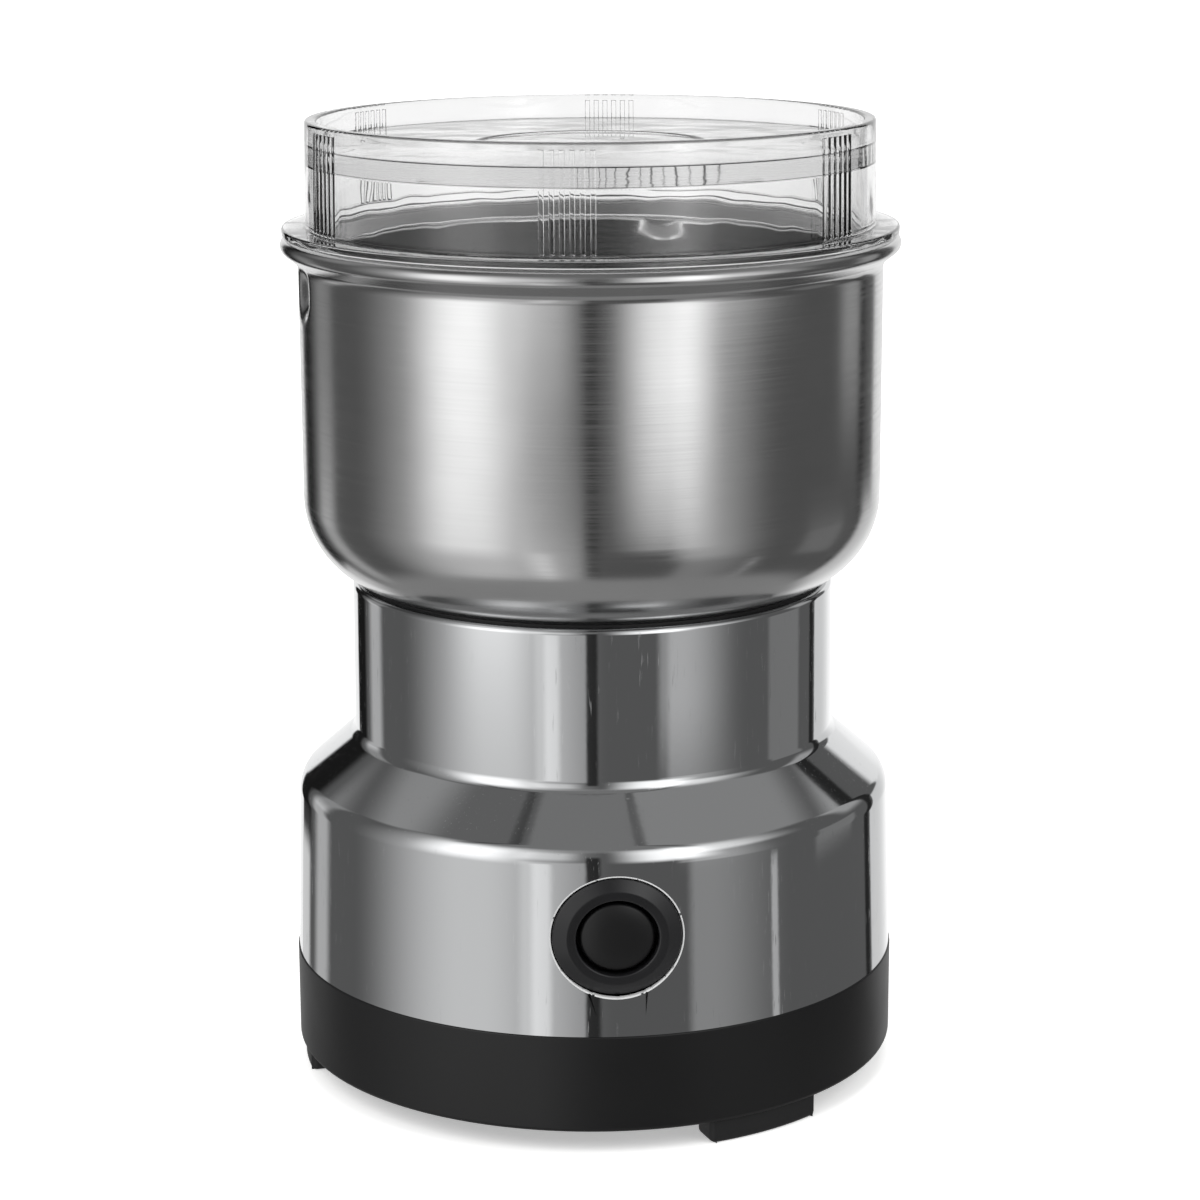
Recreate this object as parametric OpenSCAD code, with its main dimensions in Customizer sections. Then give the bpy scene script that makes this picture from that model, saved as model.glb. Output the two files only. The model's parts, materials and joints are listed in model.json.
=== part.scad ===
// Electric coffee grinder: steel bowl on a waisted chrome housing, clear lid, side push button.
// Millimetres. +Z is up, the button faces -Y, and the feet stand on z = 0 round the origin.

/* [Feet] */
// Height of the rubber feet under the base
foot_h = 4; // [3:0.25:6]
// Radial width of a foot
foot_w = 6.2; // [5.8:0.1:9]
// Half of the angle that a foot spans
foot_half_angle = 12.25; // [9:0.25:18]
// How far a foot stands in from the edge of the base
foot_inset = 0.9; // [0.6:0.1:2]
// Radius of the peg that holds a foot in the base
foot_peg_r = 1.3; // [1:0.05:1.35]

/* [Base] */
// Outer diameter of the black base
base_d = 104.8; // [103.8:0.2:108]
// Height of the base's visible wall
base_h = 16.6; // [16:0.2:22]
// Wall and floor thickness of the base
base_wall = 2.2; // [1.8:0.1:2.6]
// Height of the spigot that enters the housing
spigot_h = 3.4; // [2:0.2:5]
// Radius of the base's lower edge
base_edge_r = 0.8; // [0.5:0.1:0.9]
// Height of the screw bosses above the base floor
base_boss_h = 6; // [5:0.5:7]
// Number of vent slots in the base floor
vent_count = 12; // [8:1:16]
// Width of a vent slot
vent_w = 2.4; // [1.5:0.1:3.2]
// Length of a vent slot
vent_len = 9; // [6:0.5:11]

/* [Housing] */
// How far the drum stands in from the edge of the base
drum_step = 0.2; // [0.1:0.05:0.5]
// How much the drum's radius narrows from the base to the shoulder
drum_taper = 0.9; // [0.4:0.05:1.6]
// Height from the base to the shoulder corner
drum_h = 30.4; // [29:0.2:34]
// Height of the conical shoulder
shoulder_h = 8.4; // [6:0.2:10]
// Diameter of the neck where it leaves the shoulder
neck_d_low = 83; // [82:0.2:86]
// Diameter of the neck at its top
neck_d_high = 82.7; // [81.6:0.1:83]
// Height of the neck above the shoulder
neck_h = 26.2; // [25:0.2:32]
// Sheet thickness of the housing
shell_t = 0.8; // [0.5:0.05:1.2]
// Radius of the shoulder corner
shoulder_r = 4.2; // [3:0.2:6]
// Radius of the waist corner
waist_r = 2.2; // [1:0.1:6]
// Width of the lip turned in at the neck's top
lip_w = 4.35; // [3:0.05:5]

/* [Bowl] */
// How far the bowl's rim stands in from the edge of the base
rim_step = 0; // [0:0.05:1]
// Height of the bowl from its underside to the rim
bowl_h = 59.9; // [50:0.5:70]
// Sheet thickness of the bowl
bowl_t = 0.8; // [0.5:0.05:1.2]
// How far the rolled rim stands out from the wall
rim_overhang = 2.95; // [2.8:0.05:3.4]
// Radius of the rolled bead
bead_r = 1.5; // [1.2:0.05:1.6]
// Height of the flare and bead together
flare_h = 4.6; // [4.3:0.1:6]
// Depth of the dimples pressed into the wall
dimple_depth = 1.4; // [0.6:0.1:1.5]
// Height of a dimple
dimple_h = 8.2; // [6:0.2:8.4]
// Distance of the dimples' centre below the rim
dimple_drop = 8.4; // [8.2:0.2:12]
// How far the bowl's underside lies below the neck's top
bowl_sink = 0.3; // [0.1:0.05:0.6]

/* [Lid] */
// Height of the lid above its flange's underside
lid_h = 19.15; // [16:0.25:26]
// Wall thickness of the lid
lid_t = 2; // [1.4:0.1:2.6]
// Thickness of the lid's flange
flange_t = 1.4; // [1:0.1:2]
// Length of the skirt inside the bowl
skirt_h = 5.2; // [3:0.1:6]
// Gap between the skirt and the bowl's wall
skirt_gap = 0.85; // [0.5:0.05:1.2]
// Gap between the flange and the rolled bead
lid_seat_gap = 0.15; // [0.1:0.05:0.3]
// Depth of the recess in the lid's top
recess_h = 4.1; // [2:0.1:6]
// Thickness of the disc across the lid
disc_t = 3; // [2:0.1:4]
// Diameter of the shallow dish in the disc
dish_d = 38; // [24:1:60]
// Depth of that dish
dish_h = 0.5; // [0.3:0.1:1]
// Number of rib groups round the lid
rib_groups = 6; // [4:1:8]
// Number of ribs in a group
ribs_per_group = 6; // [3:1:8]
// Spacing of the ribs in a group
rib_pitch = 1.62; // [1.3:0.02:2]
// Width of a rib
rib_w = 0.9; // [0.5:0.05:1.1]
// Height of a rib above the wall
rib_h = 0.4; // [0.2:0.05:0.5]

/* [Button] */
// Height of the button's centre above the base's top
button_rise = 16.7; // [16:0.1:18]
// Diameter of the bezel
bezel_d = 20.8; // [19:0.2:21.6]
// Diameter of the bezel's hole
bezel_hole_d = 13.5; // [13:0.1:14.4]
// Gap between the cap and the bezel
cap_gap = 0.6; // [0.3:0.05:0.8]
// Gap between the bezel and the hole in the housing
bezel_gap = 0.3; // [0.2:0.05:0.6]
// Travel of the button
button_travel = 2.5; // [1.5:0.25:2.75]
// How far the bezel's face stands behind the drum's widest circle
bezel_setback = 0.1; // [0:0.05:0.8]
// Radius of the button spring's wire
button_wire_r = 0.35; // [0.25:0.05:0.4]
// Number of coils of the button spring
button_coils = 5; // [4:1:6]

/* [Motor] */
// Width of the stator core across the poles
stator_w = 54; // [52:0.5:55]
// Depth of the stator core along the brushes
stator_d = 42; // [41:0.5:44]
// Height of the core stack
stack_h = 24; // [20:0.5:25]
// Radius of the armature core
armature_r = 14; // [13:0.25:14.5]
// Air gap between the armature and the poles
air_gap = 0.5; // [0.3:0.05:0.8]
// Overhang of the field coils past the stack
coil_over = 4.5; // [3.5:0.25:5]
// Radius of the motor shaft
shaft_r = 3; // [2.5:0.1:3.5]
// Running gap of the shaft in its bushes
running_gap = 0.05; // [0.02:0.01:0.09]
// Radius of the commutator
commutator_r = 8; // [7:0.25:8.5]
// Gap between a brush and the commutator
brush_gap = 0.35; // [0.3:0.05:0.6]
// Length of a carbon brush
brush_len = 11; // [9:0.5:12]
// Width of a carbon brush
brush_w = 5; // [4:0.25:5.5]
// Height of a carbon brush
brush_h = 6; // [5:0.25:6.5]
// Number of coils of a brush spring
brush_coils = 4; // [3:1:5]
// Radius of the cooling fan
fan_r = 23; // [18:0.5:23.5]
// Number of fan vanes
fan_vanes = 10; // [7:1:14]

/* [Blades] */
// Distance between the blade tips
blade_span = 66; // [56:1:70]
// Width of a blade
blade_w = 11; // [8:0.5:13]
// Thickness of a blade
blade_t = 1.2; // [0.8:0.1:1.6]
// Rise or drop of a blade's tip
blade_bend = 3; // [1:0.25:4]

/* [Fasteners and cord inlet] */
// Shank radius of the self-tapping screws
screw_r = 1.65; // [1.4:0.05:1.8]
// Shank radius of the long motor bolts
bolt_r = 1.7; // [1.5:0.05:1.9]
// Radius of the cord grommet's bore
cord_bore_r = 3.3; // [2.8:0.1:3.6]
// Outer radius of the grommet's barrel
grommet_r = 5.1; // [4.8:0.1:5.4]
// Radius of an internal lead
lead_r = 1.1; // [0.8:0.1:1.2]

/* [Hidden] */
$fn = 72;

// General gaps
fit_gap = 0.05;
press_gap = 0.02;
pilot_gap = 0.05;
screw_gap = 0.25;
head_gap = 0.3;
coil_gap = 0.1;
eps = 0.01;

// Base and feet
base_r = base_d / 2;
floor_z = foot_h + base_wall;
base_top = foot_h + base_h;
boss_top = floor_z + base_boss_h;
foot_r_out = base_r - foot_inset;
foot_edge = 0.8;
foot_corner_r = 1.2;
foot_knob_h = 1.2;
foot_knob_w = 0.6;
foot_angles = [30, 150, 270];
vent_start_r = 12;

// Housing
drum_r_low = base_r - drum_step;
drum_r_high = drum_r_low - drum_taper;
neck_r_low = neck_d_low / 2;
neck_r_high = neck_d_high / 2;
shoulder_z = base_top + drum_h;
waist_z = shoulder_z + shoulder_h;
neck_top = waist_z + neck_h;
lip_r = neck_r_high - lip_w;
lip_edge_r = 1;
spigot_gap = 0.25;
spigot_r = drum_r_low - shell_t - spigot_gap;
spigot_in_r = spigot_r - base_wall;
foot_peg_pcr = min(foot_r_out - foot_w / 2, spigot_in_r - foot_peg_r - foot_knob_w - 0.3);

// Bowl, whose floor curves up from just inside the neck's lip to the wall
rim_r = base_r - rim_step;
bowl_r = rim_r - rim_overhang;
bowl_in_r = bowl_r - bowl_t;
bowl_lip_gap = 0.02;
bowl_bulge = bowl_r - lip_r + bowl_lip_gap;
bowl_fillet_r = bowl_bulge + bowl_sink + sqrt(2 * bowl_bulge * bowl_sink);
bowl_z = neck_top - bowl_sink;
bowl_floor = bowl_z + bowl_t;
rim_top = bowl_z + bowl_h;
bead_c = [rim_r - bead_r, rim_top - bead_r];
bead_start = -60;
flare_z = rim_top - flare_h;
flare_bend_r = 2;
floor_arc_c = [bowl_r - bowl_fillet_r, bowl_z + bowl_fillet_r];
dimple_angles = [-80, 160];
dimple_z = rim_top - dimple_drop;
dimple_sphere_r = (pow(dimple_h / 2, 2) + pow(dimple_depth, 2)) / (2 * dimple_depth);
seal_hole_r = 6.6;
bowl_screw_pcr = 24;
bowl_screw_angles = [90, 210, 330];

// Motor carrier and its pillars
carrier_gap = 0.35;
carrier_r = neck_r_high - shell_t - carrier_gap;
carrier_t = 3;
carrier_top = neck_top - shell_t;
carrier_under = carrier_top - carrier_t;
pillar_r = 3.6;
pillar_inset = 6.2;
pillar_pcr = carrier_r - pillar_inset;
pillar_angles = [90, 210, 330];
base_boss_r = pillar_r + 0.6;
screw_head_r = 3.3;
screw_head_h = 2.2;
screw_recess = 0.6;
screw_bite = 9;
pilot_spare = 1.5;
carrier_boss_h = 4;

// Motor stack, counted down from the carrier
bolt_x = 23;
bolt_y = 16;
bolt_pcr = norm([bolt_x, bolt_y]);
bolt_angle = atan2(bolt_y, bolt_x);
bolt_boss_h = 3.8;
damper_h = 1.5;
bar_t = 2;
bar_w = 14;
bar_end = 4;
leg_r = 3.6;
carrier_leg_r = leg_r + 0.6;
cup_r = 7.5;
bush_r = 5;
bar_top = carrier_under - bolt_boss_h - damper_h;
bar_z = bar_top - bar_t;
upper_leg_h = 12.5;
stack_top = bar_z - upper_leg_h;
stack_z = stack_top - stack_h;
lower_leg_h = 18;
plate_top = stack_z - lower_leg_h;
plate_t = 3;
plate_z = plate_top - plate_t;
plate_r = pillar_pcr - pillar_r - 0.6;
cup_h = 4.5;
cup_top = carrier_under - 1.6;
bolt_bite = 1.8;
bolt_head_h = 2.2;
bolt_head_r = 3.2;

// Poles and coils
pole_w = 15;
shoe_t = 2.1;
yoke_x = 5;
yoke_y = 6;
bore_r = armature_r + air_gap;
coil_x = bore_r + shoe_t + 2 * coil_gap;
coil_x_end = stator_w / 2 - yoke_x - 4 * coil_gap;
coil_mid_x = (coil_x + coil_x_end) / 2;
coil_half_y = bolt_y - leg_r - coil_gap;
coil_in_y = pole_w / 2 + 2 * coil_gap;
coil_low = stack_z - coil_over;

// Commutator and brushes
commutator_z = plate_top + 1.5;
commutator_h = 10.5;
brush_z = plate_top + 7.5;
brush_in = commutator_r + brush_gap;
brush_out = brush_in + brush_len;
holder_wall = 1;
holder_slack = 0.1;
holder_in = commutator_r + 1.5;
brush_travel = 4;
brush_wire_r = 0.25;
brush_cap_t = 1.5;
cap_plug = 1;
spring_packed = 2.15;
holder_out = brush_out + brush_travel + spring_packed + cap_plug;
holder_w = brush_w + 2 * holder_slack;
holder_h = brush_h + 2 * holder_slack;
holder_half = [holder_w / 2 + holder_wall, holder_h / 2 + holder_wall];

// Fan and windings
winding_r = armature_r - 1.5;
winding_h = 4.3;
fan_z = stack_top + coil_over + 1.5;
fan_h = 5;
fan_disc_t = 1;
fan_hub_r = 7;
vane_t = 1.2;
core_over = 0.5;
washer_w = 2;
washer_h = 0.8;
washer_gap = 0.2;

// Blades
seal_flange_t = 1.2;
hub_z = bowl_floor + seal_flange_t + 0.7;
hub_r = 6.5;
blade_z = hub_z + 4.5;
step_z = blade_z - 0.5;
thread_r = shaft_r - 0.5;
blade_flat = 14;
blade_angles = [20, 110];
blade_washer_t = 1;
nut_h = 4;
nut_r = 4.6;
nut_z = blade_z + 2 * blade_t + blade_washer_t;
shaft_low = plate_z - cup_h - 1.5;
shaft_high = nut_z + nut_h + 1;

// Button, measured along -Y from the axis
button_z = base_top + button_rise;
bezel_r = bezel_d / 2;
bezel_hole_r = bezel_hole_d / 2;
bezel_y = drum_r_low - bezel_setback;
bezel_step_y = bezel_y - 5.8;
bezel_back_y = bezel_y - 10.1;
bezel_flange_r = bezel_r + 1.1;
collar_r = bezel_hole_r + 0.75;
collar_hole_r = collar_r + 0.4;
collar_t = 1;
cap_r = bezel_hole_r - cap_gap;
cap_wall = 1;
cap_front = bezel_y + 0.1;
cap_face_t = 2.2;
cap_back = bezel_step_y - 0.1 - collar_t;
stem_r = 2.2;
stem_hole_r = stem_r + 0.4;
stem_end = bezel_back_y + 1.5;
bracket_t = 2;
bracket_front = bezel_back_y;
bracket_back = bracket_front - bracket_t;
bracket_half_w = 13;
bracket_bite = 5;
bracket_foot_d = 8.4;
bracket_top = button_z + 12.7;
switch_depth = 12;
switch_back = bracket_back - switch_depth;
switch_half_w = 8;
switch_half_h = 5.5;
plunger_r = 1.8;
plunger_len = 7.5;
post_r = 3.2;
post_x = 9;
post_y = bracket_front - 5.2;
terminal_len = 6.8;
terminal_x = holder_half[0] + lead_r + 0.1;
terminal_y = switch_back + 3;
terminal_z = button_z - switch_half_h - terminal_len;
lead_end = 0.15;

// Cord inlet
inlet_z = foot_h + 8.5;
inlet_out = base_r - 1.5;
inlet_pocket_r = 7.2;
inlet_flange_gap = 0.1;
inlet_boss_r = grommet_r + 1.4;
inlet_boss_len = 4.4;
grommet_bead_w = 0.9;
grommet_bead_t = 2;
grommet_flange_t = 1;
inlet_back = inlet_out - inlet_boss_len;

// Parts on the base floor
block_size = [14, 9, 8];
block_gap = 2.475;
block_inset = 17.95;
block_x = foot_peg_pcr * sin(foot_angles[1]) - foot_peg_r - foot_knob_w - block_gap - block_size[0];
block_pos = [block_x, spigot_in_r - block_inset, floor_z];
block_port = [4, 3];
cap_size = [13, 6, 10];
cap_inset = 9.45;
cap_pos = [cap_inset - spigot_in_r, 11, floor_z];
fuse_r = 1.6;
fuse_len = 10;
lead_straight = 4;
lead_coil_y = -9;
lead_low = 2.4;
lead_lane = [8, 22];
lead_out_y = max(terminal_y, plate_r + lead_r + 0.1);
lead_drop = 3;
lead_side = 0.3;
switched_bend = [[5 - pillar_pcr / 2, 3.45 - pillar_pcr * cos(30), 2.25], [-15, -13, 7.8]];
brush_bend = [2, 18, 0.5];

// Lid
skirt_r = bowl_in_r - skirt_gap;
lid_r_low = skirt_r + 0.3;
lid_r_high = lid_r_low - 0.25;
flange_z = rim_top + lid_seat_gap;
flange_r = rim_r - 0.3;
lid_top = flange_z + lid_h;
disc_top = lid_top - recess_h;
disc_z = disc_top - disc_t;
lid_in_r = lid_r_high - lid_t;
rib_phase = -8.5;
rib_root = 0.7;
rib_drop = 1.1;

function unit(v) = v / norm(v);
function arc(c, r, a0, a1, n = 10) =
    [for (i = [0:n]) let (a = a0 + (a1 - a0) * i / n) c + r * [cos(a), sin(a)]];
function reversed(list) = [for (i = [len(list) - 1:-1:0]) list[i]];
function moved_in(list, t) = [for (p = list) [p[0] - t, p[1]]];
// Arc of radius r that rounds corner b between a and c
function fillet(a, b, c, r, n = 8) =
    let (u = unit(a - b), w = unit(c - b), half = acos(u * w) / 2,
         m = b + unit(u + w) * r / sin(half),
         s = b + u * r / tan(half), e = b + w * r / tan(half),
         a0 = atan2(s[1] - m[1], s[0] - m[0]),
         raw = atan2(e[1] - m[1], e[0] - m[0]) - a0,
         turn = raw > 180 ? raw - 360 : raw < -180 ? raw + 360 : raw)
    arc(m, r, a0, a0 + turn, n);
// Cuts the corners of a path once
function softened(p) = concat([p[0]],
    [for (i = [0:len(p) - 2]) each [p[i] * 0.75 + p[i + 1] * 0.25, p[i] * 0.25 + p[i + 1] * 0.75]],
    [p[len(p) - 1]]);
function helix(r, y0, y1, turns, z, steps = 12) =
    [for (i = [0:turns * steps]) let (a = 360 * i / steps)
        [r * cos(a), y0 + (y1 - y0) * i / (turns * steps), z + r * sin(a)]];

// Tube of radius r along path p, with rings turned about the direction side
module tube(p, r, side, sides = 8) {
    last = len(p) - 1;
    rings = [for (i = [0:last])
        let (t = unit(p[min(i + 1, last)] - p[max(i - 1, 0)]), n = unit(cross(t, side)), b = cross(t, n))
        each [for (k = [0:sides - 1]) p[i] + r * (n * cos(360 * k / sides) + b * sin(360 * k / sides))]];
    walls = [for (i = [0:last - 1]) for (k = [0:sides - 1])
        let (a = i * sides + k, b = i * sides + (k + 1) % sides) each
        [[a, a + sides, b], [b, a + sides, b + sides]]];
    start = [for (k = [1:sides - 2]) [0, k, k + 1]];
    end = [for (k = [1:sides - 2]) [last * sides, last * sides + k + 1, last * sides + k]];
    polyhedron(points = rings, faces = concat(walls, start, end), convexity = 6);
}

// Turns a shape that was made on the front side to angle a
module around(a) { rotate([0, 0, a]) children(); }
module ring(r_out, r_in, h) {
    difference() {
        cylinder(r = r_out, h = h);
        translate([0, 0, -1]) cylinder(r = r_in, h = h + 2);
    }
}
// Solid of revolution about the button's axis, given as [radius, distance from the grinder's axis]
module about_button(profile) {
    translate([0, 0, button_z]) rotate([90, 0, 0]) rotate_extrude() polygon(profile);
}
module plate_screw(r, head_r, head_h, shank) {
    translate([0, 0, -head_h]) cylinder(r = head_r, h = head_h);
    translate([0, 0, -eps]) cylinder(r = r, h = shank);
}

// Feet and base

// Plan of a foot between the angles of its two ends, with rounded corners
module foot_plan(r_in) {
    spare = 0.3;
    end_r = [r_in - spare, foot_r_out + spare];
    offset(r = foot_corner_r) offset(delta = -foot_corner_r)
        polygon(concat([for (i = [-8:8]) end_r[1] * [sin(foot_half_angle * i / 8), -cos(foot_half_angle * i / 8)]],
                       [for (i = [8:-1:-8]) end_r[0] * [sin(foot_half_angle * i / 8), -cos(foot_half_angle * i / 8)]]));
}
module foot(a) {
    r_in = foot_r_out - foot_w;
    around(a) intersection() {
        rotate([0, 0, -90 - foot_half_angle - 1]) rotate_extrude(angle = 2 * foot_half_angle + 2)
            polygon(concat([[r_in, foot_h]], arc([r_in + foot_edge, foot_edge], foot_edge, 180, 270, 4),
                           arc([foot_r_out - foot_edge, foot_edge], foot_edge, 270, 360, 4),
                           [[foot_r_out, foot_h]]));
        translate([0, 0, -1]) linear_extrude(height = foot_h + 2) foot_plan(r_in);
    }
    around(a) translate([0, -foot_peg_pcr, foot_h - eps]) {
        cylinder(r = foot_peg_r, h = base_wall + 2 * eps);
        translate([0, 0, base_wall + eps]) cylinder(r = foot_peg_r + foot_knob_w, h = foot_knob_h);
    }
}
module foot_right() { color("#1b1b1c") foot(foot_angles[0]); }
module foot_rear() { color("#1b1b1c") foot(foot_angles[1]); }
module foot_left() { color("#1b1b1c") foot(foot_angles[2]); }

module base_cup() {
    rotate_extrude()
        polygon(concat([[0, foot_h]],
            arc([base_r - base_edge_r, foot_h + base_edge_r], base_edge_r, -90, 0, 5),
            [[base_r, base_top], [spigot_r, base_top], [spigot_r, base_top + spigot_h],
             [spigot_in_r, base_top + spigot_h], [spigot_in_r, floor_z], [0, floor_z]]));
}
module base() {
    color("#161617") difference() {
        union() {
            base_cup();
            for (a = pillar_angles) around(a)
                translate([0, -pillar_pcr, floor_z - eps]) cylinder(r = base_boss_r, h = base_boss_h + eps);
            for (x = [-post_x, post_x])
                translate([x, -post_y, floor_z - eps]) cylinder(r = post_r, h = base_boss_h + eps);
            translate([0, inlet_back, inlet_z]) rotate([-90, 0, 0])
                cylinder(r = inlet_boss_r, h = inlet_boss_len);
        }
        for (a = pillar_angles) around(a) translate([0, -pillar_pcr, foot_h - 1]) {
            cylinder(r = screw_r + screw_gap, h = base_wall + base_boss_h + 2);
            cylinder(r = screw_head_r + head_gap, h = 1 + screw_recess + screw_head_h);
        }
        for (x = [-post_x, post_x])
            translate([x, -post_y, floor_z]) cylinder(r = screw_r + pilot_gap, h = base_boss_h + 1);
        for (a = foot_angles) around(a)
            translate([0, -foot_peg_pcr, foot_h - 1]) cylinder(r = foot_peg_r + fit_gap, h = base_wall + 2);
        for (i = [0:vent_count - 1]) around(360 * i / vent_count)
            translate([-vent_w / 2, -vent_start_r - vent_len, foot_h - 1])
                cube([vent_w, vent_len, base_wall + 2]);
        translate([0, inlet_back - 1, inlet_z]) rotate([-90, 0, 0])
            cylinder(r = grommet_r + fit_gap, h = inlet_boss_len + 6);
        translate([0, inlet_out, inlet_z]) rotate([-90, 0, 0]) cylinder(r = inlet_pocket_r, h = 6);
    }
}
module base_screws() {
    seat = foot_h + screw_recess + screw_head_h;
    color("#8d9094") for (a = pillar_angles) around(a) translate([0, -pillar_pcr, seat])
        plate_screw(screw_r, screw_head_r, screw_head_h, boss_top - seat + screw_bite);
}
module cord_grommet() {
    flange_r = inlet_pocket_r - inlet_flange_gap;
    color("#1e1e1f") translate([0, 0, inlet_z]) rotate([-90, 0, 0]) difference() {
        union() {
            translate([0, 0, inlet_back - grommet_bead_t])
                cylinder(r = grommet_r + grommet_bead_w, h = grommet_bead_t);
            translate([0, 0, inlet_back - eps]) cylinder(r = grommet_r, h = inlet_boss_len + 2 * eps);
            translate([0, 0, inlet_out]) cylinder(r = flange_r, h = grommet_flange_t);
        }
        translate([0, 0, inlet_back - grommet_bead_t - 1]) cylinder(r = cord_bore_r, h = inlet_boss_len + 6);
    }
}

// Housing and carrier

module housing_shell() {
    low = [drum_r_low, base_top];
    corner = [drum_r_high, shoulder_z];
    waist = [neck_r_low, waist_z];
    top = [neck_r_high, neck_top];
    wall = concat([low], fillet(low, corner, waist, shoulder_r), fillet(corner, waist, top, waist_r));
    color("#c9cbcd") difference() {
        rotate_extrude()
            polygon(concat(wall, arc(top - [lip_edge_r, lip_edge_r], lip_edge_r, 0, 90, 5),
                [[lip_r, neck_top], [lip_r, carrier_top], [neck_r_high - shell_t, carrier_top]],
                reversed(moved_in(wall, shell_t))));
        translate([0, -drum_r_low / 2, button_z]) rotate([90, 0, 0])
            cylinder(r = bezel_r + bezel_gap, h = drum_r_low);
    }
}
module motor_carrier() {
    color("#2a2b2d") difference() {
        union() {
            translate([0, 0, carrier_under]) cylinder(r = carrier_r, h = carrier_t);
            translate([0, 0, carrier_top - eps]) cylinder(r = lip_r - 0.4, h = shell_t - bowl_sink + eps);
            for (a = pillar_angles) around(a)
                translate([0, -pillar_pcr, boss_top])
                    cylinder(r = pillar_r, h = carrier_under - boss_top + eps);
            for (s = [-1, 1]) translate([s * bolt_x, s * bolt_y, carrier_under - bolt_boss_h])
                cylinder(r = carrier_leg_r, h = bolt_boss_h + eps);
            for (a = bowl_screw_angles) around(a)
                translate([0, -bowl_screw_pcr, carrier_under - carrier_boss_h])
                    cylinder(r = screw_r + 1.6, h = carrier_boss_h + eps);
        }
        translate([0, 0, carrier_under - 1]) cylinder(r = seal_hole_r, h = carrier_t + 4);
        for (a = pillar_angles) around(a) translate([0, -pillar_pcr, boss_top - 1])
            cylinder(r = screw_r + pilot_gap, h = 1 + screw_bite + pilot_spare);
        for (s = [-1, 1]) translate([s * bolt_x, s * bolt_y, carrier_under - bolt_boss_h - 1])
            cylinder(r = bolt_r + pilot_gap, h = 1 + bolt_boss_h + bolt_bite + 0.4);
        for (a = bowl_screw_angles) around(a)
            translate([0, -bowl_screw_pcr, carrier_under - carrier_boss_h + 1])
                cylinder(r = screw_r + pilot_gap, h = carrier_boss_h + carrier_t + 1);
    }
}

// Bowl, its seals and screws

module bowl_gasket() {
    r_out = neck_r_high - lip_edge_r / 3;
    r_in = lip_r + lip_edge_r;
    r = bowl_fillet_r + fit_gap;
    a_in = -acos((r_in - floor_arc_c[0]) / r);
    a_out = -acos((r_out - floor_arc_c[0]) / r);
    color("#101011") rotate_extrude()
        polygon(concat([[r_in, neck_top], [r_out, neck_top]], arc(floor_arc_c, r, a_out, a_in, 8)));
}
module bowl_form() {
    wall_foot = [bowl_r, floor_arc_c[1]];
    flare = [bowl_r, flare_z];
    bead_low = bead_c + bead_r * [cos(bead_start), sin(bead_start)];
    inner_flare = [bowl_in_r, flare_z + 0.5];
    inner_top = bead_c - [bead_r, 0];
    rotate_extrude()
        polygon(concat([[seal_hole_r, bowl_z]], arc(floor_arc_c, bowl_fillet_r, -90, 0, 14),
            fillet(wall_foot, flare, bead_low, flare_bend_r, 5), arc(bead_c, bead_r, bead_start, 180, 24),
            fillet(inner_top, inner_flare, [bowl_in_r, floor_arc_c[1]], flare_bend_r, 4),
            arc(floor_arc_c, bowl_fillet_r - bowl_t, 0, -90, 14), [[seal_hole_r, bowl_floor]]));
}
module at_dimple(a) {
    around(a) translate([0, -(bowl_r - dimple_depth + dimple_sphere_r), dimple_z]) children();
}
module bowl() {
    color("#b9babb") difference() {
        union() {
            bowl_form();
            intersection() {
                union() for (a = dimple_angles) at_dimple(a) sphere(r = dimple_sphere_r + bowl_t);
                translate([0, 0, dimple_z - dimple_h]) cylinder(r = bowl_in_r + bowl_t / 2, h = 2 * dimple_h);
            }
        }
        for (a = dimple_angles) at_dimple(a) sphere(r = dimple_sphere_r);
        for (a = bowl_screw_angles) around(a)
            translate([0, -bowl_screw_pcr, bowl_z - 1]) cylinder(r = screw_r + screw_gap, h = bowl_t + 2);
    }
}
module bowl_screws() {
    head_h = screw_head_h - 0.4;
    cross = [4, 0.8, 2];
    color("#a4a6a8") for (a = bowl_screw_angles) around(a)
        translate([0, -bowl_screw_pcr, bowl_floor]) mirror([0, 0, 1]) difference() {
            plate_screw(screw_r, screw_head_r, head_h, bowl_t + carrier_t + pilot_spare);
            for (turn = [0, 90]) rotate([0, 0, turn])
                translate([-cross[0] / 2, -cross[1] / 2, -head_h - 1]) cube(cross);
        }
}
module shaft_seal() {
    body_h = bowl_floor - carrier_under;
    color("#141415") difference() {
        union() {
            translate([0, 0, carrier_under]) cylinder(r = seal_hole_r - fit_gap, h = body_h + eps);
            translate([0, 0, bowl_floor]) cylinder(r = seal_hole_r + 2.6, h = seal_flange_t);
        }
        translate([0, 0, carrier_under - 1]) cylinder(r = shaft_r + 0.35, h = body_h + seal_flange_t + 2);
    }
}

// Motor frame

module bolt_legs(z, h) {
    for (s = [-1, 1]) translate([s * bolt_x, s * bolt_y, z]) cylinder(r = leg_r, h = h);
}
module bolt_holes(z, h) {
    for (s = [-1, 1]) translate([s * bolt_x, s * bolt_y, z]) cylinder(r = bolt_r + screw_gap, h = h);
}
module upper_bearing_bracket() {
    color("#8f9296") difference() {
        union() {
            rotate([0, 0, bolt_angle]) translate([-bolt_pcr - bar_end, -bar_w / 2, bar_z])
                cube([2 * (bolt_pcr + bar_end), bar_w, bar_t]);
            translate([0, 0, bar_z]) cylinder(r = cup_r, h = cup_top - bar_z);
            bolt_legs(stack_top, upper_leg_h + eps);
        }
        translate([0, 0, bar_z - 1]) cylinder(r = bush_r + fit_gap, h = cup_top - bar_z + 2);
        bolt_holes(stack_top - 1, upper_leg_h + bar_t + 2);
    }
}
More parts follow.
